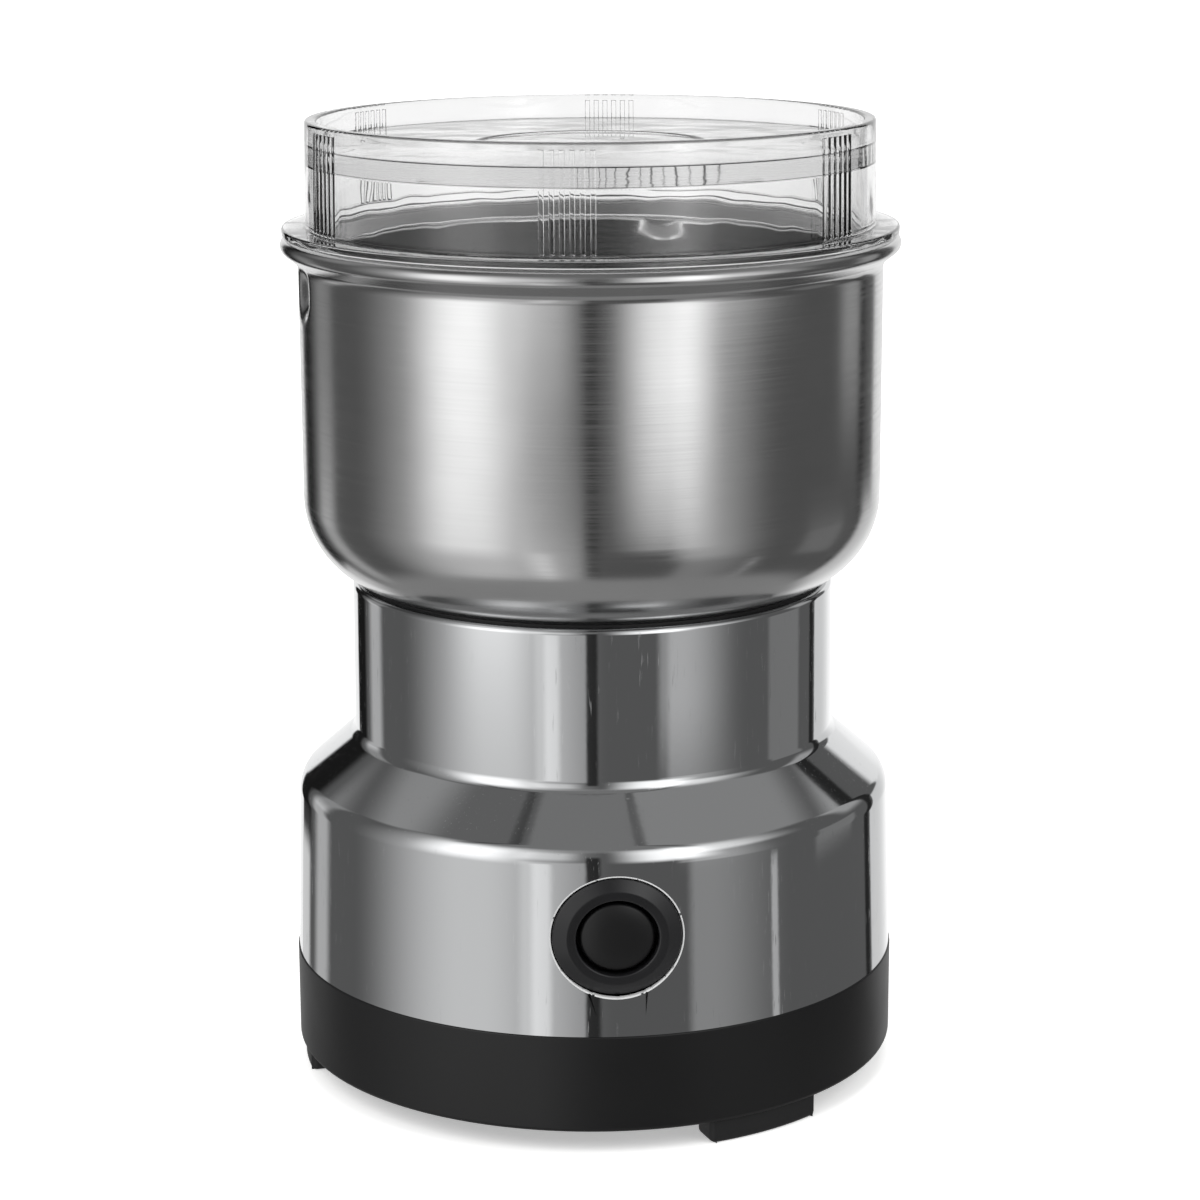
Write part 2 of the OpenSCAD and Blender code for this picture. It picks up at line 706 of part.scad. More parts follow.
module upper_bush() {
    color("#b08d57") translate([0, 0, bar_z]) ring(bush_r, shaft_r + running_gap, cup_top - bar_z);
}
module motor_dampers() {
    color("#202021") for (s = [-1, 1]) translate([s * bolt_x, s * bolt_y, bar_top])
        ring(carrier_leg_r, bolt_r + screw_gap, damper_h);
}
module motor_bolts() {
    color("#9da0a3") for (s = [-1, 1]) translate([s * bolt_x, s * bolt_y, plate_z])
        plate_screw(bolt_r, bolt_head_r, bolt_head_h, carrier_under - plate_z + bolt_bite);
}
module stator_core() {
    slot_x = stator_w - 2 * yoke_x;
    slot_y = stator_d - 2 * yoke_y;
    shoe_y = 2 * (coil_half_y - 1);
    color("#6c6f73") translate([0, 0, stack_z]) difference() {
        linear_extrude(stack_h) union() {
            difference() {
                square([stator_w, stator_d], center = true);
                square([slot_x, slot_y], center = true);
            }
            difference() {
                union() {
                    square([slot_x + 1, pole_w], center = true);
                    intersection() {
                        circle(r = bore_r + shoe_t);
                        square([slot_x, shoe_y], center = true);
                    }
                }
                circle(r = bore_r);
                square([bore_r, slot_y - 1], center = true);
            }
        }
        translate([0, 0, -stack_z]) bolt_holes(stack_z - 1, stack_h + 2);
    }
}
module field_coil(s) {
    h = stack_h + 2 * coil_over;
    gap = 3 * coil_gap;
    x0 = s > 0 ? coil_x : -coil_x_end;
    w = coil_x_end - coil_x;
    color("#a8683a") difference() {
        translate([x0, -coil_half_y, coil_low]) cube([w, 2 * coil_half_y, h]);
        translate([x0 - 1, -coil_in_y, stack_z - gap]) cube([w + 2, 2 * coil_in_y, stack_h + 2 * gap]);
    }
}
module field_coil_left() { field_coil(-1); }
module field_coil_right() { field_coil(1); }
module lower_bearing_bracket() {
    pad = [2 * holder_half[0], holder_out - holder_in - 3, brush_z - holder_half[1] - plate_top + eps];
    color("#3a3026") difference() {
        union() {
            translate([0, 0, plate_z]) cylinder(r = plate_r, h = plate_t);
            translate([0, 0, plate_z - cup_h]) cylinder(r = cup_r, h = cup_h + eps);
            bolt_legs(plate_z, plate_t + lower_leg_h);
            for (turn = [0, 180]) rotate([0, 0, turn])
                translate([-pad[0] / 2, holder_in + 2, plate_top - eps]) cube(pad);
        }
        translate([0, 0, plate_z - cup_h - 1]) cylinder(r = bush_r + fit_gap, h = cup_h + plate_t + 2);
        bolt_holes(plate_z - 1, plate_t + lower_leg_h + 2);
    }
}
module lower_bush() {
    color("#b08d57") translate([0, 0, plate_z - cup_h]) ring(bush_r, shaft_r + running_gap, cup_h + plate_t);
}

// Brush gear

// Box of the half width and height half about the brush's centre line, from y0 outwards
module brush_bar(half, y0, len) {
    translate([-half[0], y0, brush_z - half[1]]) cube([2 * half[0], len, 2 * half[1]]);
}
module brush_holder() {
    len = holder_out - holder_in;
    color("#b59a4a") difference() {
        brush_bar(holder_half, holder_in, len);
        brush_bar([holder_w, holder_h] / 2, holder_in - 1, len + 2);
    }
}
module brush_cap() {
    plug = [holder_w / 2 - fit_gap, holder_h / 2 - fit_gap];
    color("#b59a4a") {
        brush_bar(holder_half, holder_out, brush_cap_t);
        brush_bar(plug, holder_out - cap_plug, cap_plug + eps);
    }
}
module carbon_brush() {
    color("#2d2d2e") difference() {
        brush_bar([brush_w, brush_h] / 2, brush_in - 1, brush_len + 1);
        translate([0, 0, brush_z - brush_h]) cylinder(r = brush_in, h = 2 * brush_h);
    }
}
module brush_spring() {
    seat = brush_wire_r + coil_gap;
    path = helix(brush_w / 2 - 0.6, brush_out + seat, holder_out - cap_plug - seat, brush_coils, brush_z);
    color("#8f9296") tube(path, brush_wire_r, [0, 1, 0], 6);
}
module brush_holder_front() { around(180) brush_holder(); }
module brush_holder_rear() { brush_holder(); }
module brush_cap_front() { around(180) brush_cap(); }
module brush_cap_rear() { brush_cap(); }
module carbon_brush_front() { around(180) carbon_brush(); }
module carbon_brush_rear() { carbon_brush(); }
module brush_spring_front() { around(180) brush_spring(); }
module brush_spring_rear() { brush_spring(); }

// Rotor

module shaft() {
    color("#a9acaf") {
        translate([0, 0, shaft_low]) cylinder(r = shaft_r, h = step_z - shaft_low);
        translate([0, 0, step_z - eps]) cylinder(r = thread_r, h = shaft_high - step_z);
    }
}
module armature_core() {
    slots = 12;
    slot_w = 1.8;
    h = stack_h + 2 * core_over;
    color("#5d6064") translate([0, 0, stack_z - core_over]) linear_extrude(h) difference() {
        circle(r = armature_r);
        circle(r = shaft_r + press_gap);
        for (i = [0:slots - 1]) rotate(360 * i / slots) translate([armature_r - 2.2, -slot_w / 2])
            square([4, slot_w]);
    }
}
module armature_windings() {
    r_in = shaft_r + 1.2;
    round_r = 1.5;
    color("#b0703c") for (z = [stack_top + core_over, stack_z - core_over - winding_h])
        translate([0, 0, z]) rotate_extrude()
            polygon(concat([[r_in, 0]], arc([winding_r - round_r, round_r], round_r, -90, 0, 5),
                arc([winding_r - round_r, winding_h - round_r], round_r, 0, 90, 5), [[r_in, winding_h]]));
}
module commutator() {
    bars = 12;
    riser = 1.2;
    color("#b87342") translate([0, 0, commutator_z]) difference() {
        union() {
            cylinder(r = commutator_r, h = commutator_h);
            translate([0, 0, commutator_h - riser]) cylinder(r = commutator_r + riser, h = riser);
        }
        translate([0, 0, -1]) cylinder(r = shaft_r + press_gap, h = commutator_h + 2);
        for (i = [0:bars - 1]) rotate([0, 0, 360 * i / bars])
            translate([commutator_r - 0.7, -0.2, -1]) cube([3, 0.4, commutator_h + 2]);
    }
}
module cooling_fan() {
    color("#d8d2c4") translate([0, 0, fan_z]) difference() {
        union() {
            cylinder(r = fan_r, h = fan_disc_t);
            cylinder(r = fan_hub_r, h = fan_h);
            for (i = [0:fan_vanes - 1]) rotate([0, 0, 360 * i / fan_vanes])
                translate([fan_hub_r - 1, -vane_t / 2, fan_disc_t - eps])
                    cube([fan_r - fan_hub_r + 1 - vane_t / 3, vane_t, fan_h - fan_disc_t]);
        }
        translate([0, 0, -1]) cylinder(r = shaft_r + press_gap, h = fan_h + 2);
    }
}
module thrust_washer_upper() {
    color("#c8b48a") translate([0, 0, bar_z - washer_gap - washer_h])
        ring(shaft_r + washer_w, shaft_r + press_gap, washer_h);
}
module thrust_washer_lower() {
    color("#c8b48a") translate([0, 0, plate_top + washer_gap])
        ring(shaft_r + washer_w, shaft_r + press_gap, washer_h);
}
module shaft_clip() {
    color("#85888c") translate([0, 0, plate_z - cup_h - washer_gap - washer_h])
        ring(shaft_r + washer_w - 0.6, shaft_r + press_gap, washer_h);
}
module blade_hub() {
    skirt_h = 3;
    hub_h = blade_z - hub_z;
    color("#202122") translate([0, 0, hub_z]) difference() {
        union() {
            cylinder(r = hub_r + 2, h = skirt_h);
            translate([0, 0, skirt_h - eps]) cylinder(r = hub_r, h = hub_h - skirt_h + eps);
        }
        translate([0, 0, -1]) cylinder(r = shaft_r + press_gap, h = step_z - hub_z + 1);
        translate([0, 0, -1]) cylinder(r = thread_r + press_gap, h = hub_h + 2);
    }
}

// One blade, flat in the middle, with its tips bent by the height bend
module blade(z, bend) {
    half = blade_span / 2;
    side = [[-half, bend], [-blade_flat, 0], [blade_flat, 0], [half, bend],
            [half, bend + blade_t], [blade_flat, blade_t], [-blade_flat, blade_t], [-half, bend + blade_t]];
    tip = blade_w * 0.3;
    plan = [[-half, -tip], [-half + 4, -blade_w / 2], [half, -blade_w / 2 + 1], [half, tip],
            [half - 4, blade_w / 2], [-half, blade_w / 2 - 1]];
    translate([0, 0, z]) difference() {
        intersection() {
            rotate([90, 0, 0]) translate([0, 0, -blade_w]) linear_extrude(2 * blade_w) polygon(side);
            translate([0, 0, -10]) linear_extrude(20) polygon(plan);
        }
        translate([0, 0, -5]) cylinder(r = thread_r + press_gap, h = 10);
    }
}
module blade_lower() { color("#c2c4c6") around(blade_angles[0]) blade(blade_z, -blade_bend); }
module blade_upper() { color("#c2c4c6") around(blade_angles[1]) blade(blade_z + blade_t, blade_bend); }
module blade_washer() {
    color("#b4b6b8") translate([0, 0, nut_z - blade_washer_t])
        ring(hub_r - 0.5, thread_r + press_gap, blade_washer_t);
}
module blade_nut() {
    color("#b4b6b8") translate([0, 0, nut_z]) difference() {
        cylinder(r = nut_r, h = nut_h, $fn = 6);
        translate([0, 0, -1]) cylinder(r = thread_r + press_gap, h = nut_h + 2);
    }
}

// Switch and button

module switch_bracket() {
    color("#303133") difference() {
        union() {
            translate([-bracket_half_w, -bracket_front, boss_top])
                cube([2 * bracket_half_w, bracket_t, bracket_top - boss_top]);
            translate([-bracket_half_w + 0.5, -bracket_front, boss_top])
                cube([2 * bracket_half_w - 1, bracket_foot_d, bracket_t]);
        }
        translate([0, -bracket_front - 1, button_z]) rotate([-90, 0, 0])
            cylinder(r = stem_hole_r, h = bracket_t + 2);
        for (x = [-post_x, post_x])
            translate([x, -post_y, boss_top - 1]) cylinder(r = screw_r + screw_gap, h = bracket_t + 2);
        translate([post_r - post_x, -bracket_back, boss_top - 1])
            cube([2 * (post_x - post_r), bracket_foot_d, bracket_t + 2]);
    }
}
module bracket_screws() {
    shank = bracket_t + bracket_bite;
    color("#9da0a3") for (x = [-post_x, post_x]) translate([x, -post_y, boss_top + bracket_t])
        mirror([0, 0, 1]) plate_screw(screw_r, screw_head_r - 0.4, screw_head_h - 0.6, shank);
}
module switch_body() {
    color("#24262a") difference() {
        translate([-switch_half_w, -bracket_back, button_z - switch_half_h])
            cube([2 * switch_half_w, switch_depth, 2 * switch_half_h]);
        translate([0, -bracket_back - 1, button_z]) rotate([-90, 0, 0])
            cylinder(r = stem_hole_r, h = 1 + plunger_len + button_travel);
    }
}
module switch_terminals() {
    blade = [0.8, 3, terminal_len];
    color("#c3a663") for (x = [-terminal_x, terminal_x])
        translate([x - blade[0] / 2, -terminal_y - blade[1] / 2, terminal_z]) cube(blade);
}
module switch_plunger() {
    color("#d6d6d2") translate([0, -stem_end, button_z]) rotate([-90, 0, 0])
        cylinder(r = plunger_r, h = plunger_len);
}
module button_spring() {
    seat = button_wire_r + coil_gap;
    mean_r = cap_r - cap_wall - button_wire_r - 0.5;
    path = helix(mean_r, -bracket_front - seat, cap_face_t + seat - cap_front, button_coils, button_z);
    color("#9fa2a5") tube(path, button_wire_r, [0, 1, 0], 6);
}
module button_cap() {
    dome = 0.9;
    edge = 0.8;
    under = cap_front - cap_face_t;
    dome_r = cap_r - edge;
    crown = [for (i = [3:-1:0]) [dome_r * i / 4, cap_front - dome * pow(i / 4, 2) * 0.62]];
    color("#131314") about_button(concat(
        [[0, stem_end], [stem_r, stem_end], [stem_r, under], [cap_r - cap_wall, under],
         [cap_r - cap_wall, cap_back], [collar_r, cap_back], [collar_r, cap_back + collar_t],
         [cap_r, cap_back + collar_t]],
        arc([cap_r - edge, cap_front - dome - edge], edge, 0, 60, 4), crown));
}
module button_bezel() {
    flat_r = bezel_hole_r + 1.6;
    slope = 1.1;
    edge = 0.5;
    flange_y = bezel_back_y + 2;
    color("#18181a") about_button(
        [[bezel_hole_r, bezel_step_y], [bezel_hole_r, bezel_y - edge],
         [bezel_hole_r + edge, bezel_y - edge / 2], [flat_r, bezel_y],
         [bezel_r - edge, bezel_y - slope], [bezel_r, bezel_y - slope - edge],
         [bezel_r, flange_y], [bezel_flange_r, flange_y], [bezel_flange_r, bezel_back_y],
         [collar_hole_r, bezel_back_y], [collar_hole_r, bezel_step_y]]);
}

// Parts and leads in the base

module terminal_block() {
    hole_r = 1.6;
    color("#e4e0d4") difference() {
        translate(block_pos) cube(block_size);
        for (part = [0.25, 0.75])
            translate(block_pos + [block_size[0] * part, block_size[1] / 2, block_size[2] / 2])
                cylinder(r = hole_r, h = block_size[2]);
    }
}
module capacitor() { color("#c9a23a") translate(cap_pos) cube(cap_size); }
module thermal_fuse() {
    color("#cfcfcf") translate([coil_mid_x, -fuse_len / 2, coil_low - fuse_r - coil_gap])
        rotate([-90, 0, 0]) cylinder(r = fuse_r, h = fuse_len);
}
module lead(points, side) { tube(softened(softened(points)), lead_r, side); }
module lead_live() {
    start = [terminal_x, -terminal_y, terminal_z - lead_end];
    end = block_pos + [block_port[0], -lead_end, block_port[1]];
    low = floor_z + lead_low;
    x = terminal_x - lead_side;
    color("#7a3b2a") lead([start, [x, -lead_out_y, start[2] - lead_drop],
        [x, -lead_out_y, low], [lead_lane[0], -lead_lane[1], low],
        [lead_lane[0], lead_lane[1], low], end - [0, lead_straight, 0], end], [1, 0.1, 0.35]);
}
module lead_switched() {
    start = [-terminal_x, -terminal_y, terminal_z - lead_end];
    end = [-coil_mid_x, lead_coil_y, coil_low - lead_end];
    bend = switched_bend;
    color("#2f4f7a") lead([start, start - [0, 0, lead_drop],
        [bend[0][0], bend[0][1], start[2] - bend[0][2]],
        [bend[1][0], bend[1][1], end[2] - bend[1][2]],
        end - [0, 0, lead_straight], end], [0.9, -0.5, 0.1]);
}
module lead_neutral() {
    start = block_pos + [block_port[1], block_size[1] / 2, block_size[2] + lead_end];
    end = [0, holder_out + brush_cap_t + lead_end, brush_z];
    bend = [block_port[1], start[1], brush_z - lead_low];
    color("#2f4f7a") lead([start, start + [0, 0, lead_straight], bend,
        end + [0, lead_straight, 0], end], [1, 0.2, 0.6]);
}
module lead_brush() {
    start = [holder_half[0] + lead_end, -holder_out - brush_cap_t / 2, brush_z];
    end = [coil_mid_x, lead_coil_y - 0.5, coil_low - lead_end];
    color("#7a3b2a") lead([start, start + [lead_straight, 0, 0],
        [end[0] - brush_bend[0], -brush_bend[1], brush_z + brush_bend[2]],
        end - [0, 0, lead_straight], end], [0.1, -0.3, 1]);
}

// Lid

module lid_form() {
    flange_top = flange_z + flange_t;
    edge = 0.4;
    rotate_extrude()
        polygon(concat([[lid_in_r, flange_z - skirt_h], [skirt_r - edge, flange_z - skirt_h],
            [skirt_r, flange_z - skirt_h + edge], [skirt_r, flange_z], [flange_r - edge, flange_z]],
            arc([flange_r - edge, flange_z + edge], edge, -90, 0, 3),
            arc([flange_r - edge, flange_top - edge], edge, 0, 90, 3),
            [[lid_r_low, flange_top]], arc([lid_r_high - edge, lid_top - edge], edge, 0, 90, 3),
            arc([lid_in_r + edge, lid_top - edge], edge, 90, 180, 3),
            [[lid_in_r, disc_top], [dish_d / 2 + dish_h, disc_top], [dish_d / 2, disc_top - dish_h],
             [0, disc_top - dish_h], [0, disc_z], [lid_in_r, disc_z]]));
}
module lid() {
    rib_step = rib_pitch / lid_r_low * 180 / PI;
    rib_z = flange_z + flange_t / 2;
    color("#dfe6ea", 0.4) union() {
        lid_form();
        for (g = [0:rib_groups - 1]) for (i = [0:ribs_per_group - 1])
            around(rib_phase + 360 * g / rib_groups + (i - (ribs_per_group - 1) / 2) * rib_step)
                translate([-rib_w / 2, -lid_r_high - rib_h, rib_z])
                    cube([rib_w, rib_h + rib_root, lid_top - rib_drop - rib_z]);
    }
}

base();
foot_right();
foot_rear();
foot_left();
base_screws();
cord_grommet();
housing_shell();
motor_carrier();
bowl_gasket();
bowl();
bowl_screws();
shaft_seal();
upper_bearing_bracket();
upper_bush();
motor_dampers();
motor_bolts();
stator_core();
field_coil_left();
field_coil_right();
lower_bearing_bracket();
lower_bush();
brush_holder_front();
brush_holder_rear();
brush_cap_front();
brush_cap_rear();
brush_spring_front();
brush_spring_rear();
carbon_brush_front();
carbon_brush_rear();
shaft();
armature_core();
armature_windings();
commutator();
cooling_fan();
thrust_washer_upper();
thrust_washer_lower();
shaft_clip();
blade_hub();
blade_lower();
blade_upper();
blade_washer();
blade_nut();
switch_bracket();
bracket_screws();
switch_body();
switch_terminals();
switch_plunger();
button_spring();
button_cap();
button_bezel();
terminal_block();
capacitor();
thermal_fuse();
lead_live();
lead_switched();
lead_neutral();
lead_brush();
lid();
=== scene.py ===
import json
import math
import bmesh
import bpy
from mathutils import Matrix, Vector


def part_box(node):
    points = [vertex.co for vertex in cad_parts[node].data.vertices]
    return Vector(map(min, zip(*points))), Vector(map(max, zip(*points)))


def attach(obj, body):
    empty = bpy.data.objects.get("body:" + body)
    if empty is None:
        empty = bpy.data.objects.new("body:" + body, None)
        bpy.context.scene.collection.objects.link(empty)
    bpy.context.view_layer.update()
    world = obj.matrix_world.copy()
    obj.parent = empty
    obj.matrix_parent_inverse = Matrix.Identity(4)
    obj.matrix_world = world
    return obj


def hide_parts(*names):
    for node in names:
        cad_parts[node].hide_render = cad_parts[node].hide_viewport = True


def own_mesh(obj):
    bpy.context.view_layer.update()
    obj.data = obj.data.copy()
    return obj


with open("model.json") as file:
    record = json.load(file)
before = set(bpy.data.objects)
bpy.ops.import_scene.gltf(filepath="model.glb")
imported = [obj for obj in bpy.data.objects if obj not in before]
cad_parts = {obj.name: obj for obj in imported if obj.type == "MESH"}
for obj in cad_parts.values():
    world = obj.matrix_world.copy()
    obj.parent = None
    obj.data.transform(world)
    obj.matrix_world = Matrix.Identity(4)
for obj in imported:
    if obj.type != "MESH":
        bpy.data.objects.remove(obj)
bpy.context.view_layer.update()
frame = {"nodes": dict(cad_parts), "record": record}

mm = 0.001
samePlace = 0.001 * mm  # points nearer to each other than this count as one


# Nodes, colours and materials

def addNode(tree, kind, inputs=(), **settings):
    # adds a shader node and fills its sockets: a node among them is linked by its first output
    node = tree.nodes.new("ShaderNode" + kind)
    for name, value in settings.items():
        setattr(node, name, value)
    for socket, value in dict(inputs).items():
        if isinstance(value, bpy.types.Node):
            value = value.outputs[0]
        if isinstance(value, bpy.types.NodeSocket):
            tree.links.new(value, node.inputs[socket])
        else:
            node.inputs[socket].default_value = value
    return node


def colour(code):
    # an sRGB hex value as the linear one that shaders take
    parts = [int(code[i:i + 2], 16) / 255 for i in (1, 3, 5)]
    return [p / 12.92 if p < 0.04045 else ((p + 0.055) / 1.055) ** 2.4 for p in parts] + [1]


def startMaterial(name, **sockets):
    material = bpy.data.materials.new(name)
    material.use_nodes = True
    tree = material.node_tree
    shader = tree.nodes["Principled BSDF"]
    for socket, value in sockets.items():
        shader.inputs[socket.replace("_", " ")].default_value = value
    place = addNode(tree, "TexCoord").outputs["Object"]
    return material, tree, shader, place


def twoColours(tree, amount, first, second):
    # a colour that goes from the first to the second as the pattern rises
    mix = addNode(tree, "Mix", {0: amount, 6: colour(first), 7: colour(second)}, data_type="RGBA")
    return mix.outputs[2]


def spunCoordinates(tree, place, alongMm, aroundPerTurn):
    # follows the lines that a lathe leaves: fine along the outline, long round the axis
    split = addNode(tree, "SeparateXYZ", {0: place})
    flat = addNode(tree, "CombineXYZ", {0: split.outputs[0], 1: split.outputs[1]})
    radius = addNode(tree, "VectorMath", {0: flat.outputs[0]}, operation="LENGTH").outputs["Value"]
    unit = addNode(tree, "VectorMath", {0: flat.outputs[0]}, operation="NORMALIZE").outputs[0]
    turn = addNode(tree, "VectorMath", {0: unit, "Scale": aroundPerTurn}, operation="SCALE").outputs[0]
    outline = addNode(tree, "Math", {0: radius, 1: split.outputs[2]}, operation="ADD").outputs[0]
    along = addNode(tree, "Math", {0: outline, 1: 1 / (alongMm * mm)}, operation="MULTIPLY").outputs[0]
    lift = addNode(tree, "CombineXYZ", {2: along}).outputs[0]
    return addNode(tree, "VectorMath", {0: turn, 1: lift}, operation="ADD").outputs[0]


polish = {"tint": "#cfd0d1", "waveMm": 34, "waveDepthMm": 0.05, "peelMm": 1.3, "peelDepthMm": 0.002,
          "hazeMm": 9, "clean": 0.03, "hazy": 0.08, "scratchMm": 0.35, "scratch": 0.2}


def polishedChrome():
    # Mirror-bright plated sheet: sharp reflections that run a little wavy, with faint wiping haze
    material, tree, shader, place = startMaterial("polished_chrome_plate", Metallic=1.0)
    shader.inputs["Base Color"].default_value = colour(polish["tint"])
    haze = addNode(tree, "TexNoise", {"Vector": place, "Scale": 1 / (polish["hazeMm"] * mm), "Detail": 3})
    rough = addNode(tree, "MapRange", {0: haze.outputs["Fac"], 1: 0.35, 2: 0.75,
                                      3: polish["clean"], 4: polish["hazy"]})
    # short wiping scratches that stand mostly upright, drawn coarser than they are so that they show
    upright = addNode(tree, "Mapping", {"Vector": place, "Scale": (1, 1, 0.07),
                                        "Rotation": (0.12, -0.1, 0)})
    scratch = addNode(tree, "TexNoise", {"Vector": upright.outputs[0],
                                         "Scale": 1 / (polish["scratchMm"] * mm), "Detail": 1})
    marks = addNode(tree, "MapRange", {0: scratch.outputs["Fac"], 1: 0.66, 2: 0.74,
                                       3: 0.0, 4: polish["scratch"]})
    both = addNode(tree, "Math", {0: rough.outputs[0], 1: marks.outputs[0]}, operation="ADD")
    tree.links.new(both.outputs[0], shader.inputs["Roughness"])
    wave = addNode(tree, "TexNoise", {"Vector": place, "Scale": 1 / (polish["waveMm"] * mm), "Detail": 1})
    peel = addNode(tree, "TexNoise", {"Vector": place, "Scale": 1 / (polish["peelMm"] * mm), "Detail": 1})
    fine = addNode(tree, "Bump", {"Height": peel.outputs["Fac"], "Strength": 1.0,
                                  "Distance": polish["peelDepthMm"] * mm})
    bump = addNode(tree, "Bump", {"Height": wave.outputs["Fac"], "Strength": 1.0,
                                  "Distance": polish["waveDepthMm"] * mm, "Normal": fine.outputs[0]})
    tree.links.new(bump.outputs[0], shader.inputs["Normal"])
    return material


spinning = {"tint": "#c8c8c8", "shade": "#b4b4b4", "roughness": 0.17,
            "lineMm": 0.25, "lineDepthMm": 0.0022, "aroundPerTurn": 1.6}


def spunStainless():
    # Stainless sheet spun on a lathe and brushed: a soft satin sheen with fine rings round the axis
    material, tree, shader, place = startMaterial("spun_stainless", Metallic=1.0)
    rings = spunCoordinates(tree, place, spinning["lineMm"], spinning["aroundPerTurn"])
    lines = addNode(tree, "TexNoise", {"Vector": rings, "Scale": 1.0, "Detail": 4, "Roughness": 0.6})
    patches = addNode(tree, "TexNoise", {"Vector": place, "Scale": 60.0, "Detail": 2})
    tint = twoColours(tree, patches.outputs["Fac"], spinning["tint"], spinning["shade"])
    tree.links.new(tint, shader.inputs["Base Color"])
    rough = addNode(tree, "MapRange", {0: lines.outputs["Fac"], 1: 0.3, 2: 0.7,
                                       3: spinning["roughness"] - 0.04, 4: spinning["roughness"] + 0.05})
    tree.links.new(rough.outputs[0], shader.inputs["Roughness"])
    bump = addNode(tree, "Bump", {"Height": lines.outputs["Fac"], "Strength": 1.0,
                                  "Distance": spinning["lineDepthMm"] * mm})
    tree.links.new(bump.outputs[0], shader.inputs["Normal"])
    return material


clear = {"tint": "#fcfcfc", "ior": 1.53, "flowMm": 9, "flowDepthMm": 0.09,
         "depthTint": "#1c1c1b", "density": 4.5}


def clearStyrene(name="clear_moulded_styrene", roughness=0.015):
    # Injection-moulded clear styrene: bright edges, slight waves where it flowed in the mould
    material, tree, shader, place = startMaterial(name, Roughness=roughness, IOR=clear["ior"])
    shader.inputs["Base Color"].default_value = colour(clear["tint"])
    shader.inputs["Transmission Weight"].default_value = 1.0
    # greys a long look through the disc, and hardly the thin wall
    inside = addNode(tree, "VolumeAbsorption", {"Color": colour(clear["depthTint"]),
                                                "Density": clear["density"]})
    tree.links.new(inside.outputs[0], tree.nodes["Material Output"].inputs["Volume"])
    flow = addNode(tree, "TexNoise", {"Vector": place, "Scale": 1 / (clear["flowMm"] * mm), "Detail": 1})
    bump = addNode(tree, "Bump", {"Height": flow.outputs["Fac"], "Strength": 1.0,
                                  "Distance": clear["flowDepthMm"] * mm})
    tree.links.new(bump.outputs[0], shader.inputs["Normal"])
    return material


def mouldedPlastic(name, dark, light, roughness, grainMm=0.5, grainDepthMm=0.006, **sockets):
    # Moulded plastic or rubber with the fine eroded grain of its mould, a little uneven in gloss
    material, tree, shader, place = startMaterial(name, **sockets)
    grain = addNode(tree, "TexNoise", {"Vector": place, "Scale": 1 / (grainMm * mm), "Detail": 2})
    cloud = addNode(tree, "TexNoise", {"Vector": place, "Scale": 45.0, "Detail": 3})
    tree.links.new(twoColours(tree, cloud.outputs["Fac"], dark, light), shader.inputs["Base Color"])
    rough = addNode(tree, "MapRange", {0: cloud.outputs["Fac"], 1: 0.3, 2: 0.7,
                                       3: roughness - 0.04, 4: roughness + 0.04})
    tree.links.new(rough.outputs[0], shader.inputs["Roughness"])
    bump = addNode(tree, "Bump", {"Height": grain.outputs["Fac"], "Strength": 1.0,
                                  "Distance": grainDepthMm * mm})
    tree.links.new(bump.outputs[0], shader.inputs["Normal"])
    return material


def workedMetal(name, dark, light, roughness, grain=(400, 400, 400), depthMm=0.004):
    # Plain machined, drawn or stamped metal: grain holds how many marks a metre along x, y and z
    material, tree, shader, place = startMaterial(name, Metallic=1.0)
    stretch = addNode(tree, "Mapping", {"Vector": place, "Scale": grain})
    marks = addNode(tree, "TexNoise", {"Vector": stretch.outputs[0], "Scale": 1.0, "Detail": 3})
    tree.links.new(twoColours(tree, marks.outputs["Fac"], dark, light), shader.inputs["Base Color"])
    rough = addNode(tree, "MapRange", {0: marks.outputs["Fac"], 1: 0.3, 2: 0.7,
                                       3: roughness - 0.05, 4: roughness + 0.06})
    tree.links.new(rough.outputs[0], shader.inputs["Roughness"])
    bump = addNode(tree, "Bump", {"Height": marks.outputs["Fac"], "Strength": 1.0,
                                  "Distance": depthMm * mm})
    tree.links.new(bump.outputs[0], shader.inputs["Normal"])
    return material


def laminatedSteel():
    # Stack of stamped sheets: thin dark seams in a blued skin, drawn coarser than the sheets are
    material, tree, shader, place = startMaterial("laminated_core_steel", Metallic=1.0, Roughness=0.45)
    seams = addNode(tree, "TexWave", {"Vector": place, "Scale": 200.0, "Distortion": 0.2},
                    bands_direction="Z")  # a seam every 1.6 mm
    tree.links.new(twoColours(tree, seams.outputs["Fac"], "#3c3f43", "#7b7f85"), shader.inputs["Base Color"])
    bump = addNode(tree, "Bump", {"Height": seams.outputs["Fac"], "Strength": 1.0, "Distance": 0.02 * mm})
    tree.links.new(bump.outputs[0], shader.inputs["Normal"])
    return material


def woundCopper():
    # Enamelled wire in tight layers: round glossy ridges in brown-orange, drawn coarser than the wire is
    material, tree, shader, place = startMaterial("enamelled_copper_wire", Roughness=0.25, Coat_Weight=0.5)
    turns = addNode(tree, "TexWave", {"Vector": place, "Scale": 210.0, "Distortion": 1.5,
                                      "Detail": 2}, bands_direction="DIAGONAL")
    tree.links.new(twoColours(tree, turns.outputs["Fac"], "#5a2412", "#b5622c"), shader.inputs["Base Color"])
    bump = addNode(tree, "Bump", {"Height": turns.outputs["Fac"], "Strength": 1.0, "Distance": 0.1 * mm})
    tree.links.new(bump.outputs[0], shader.inputs["Normal"])
    return material


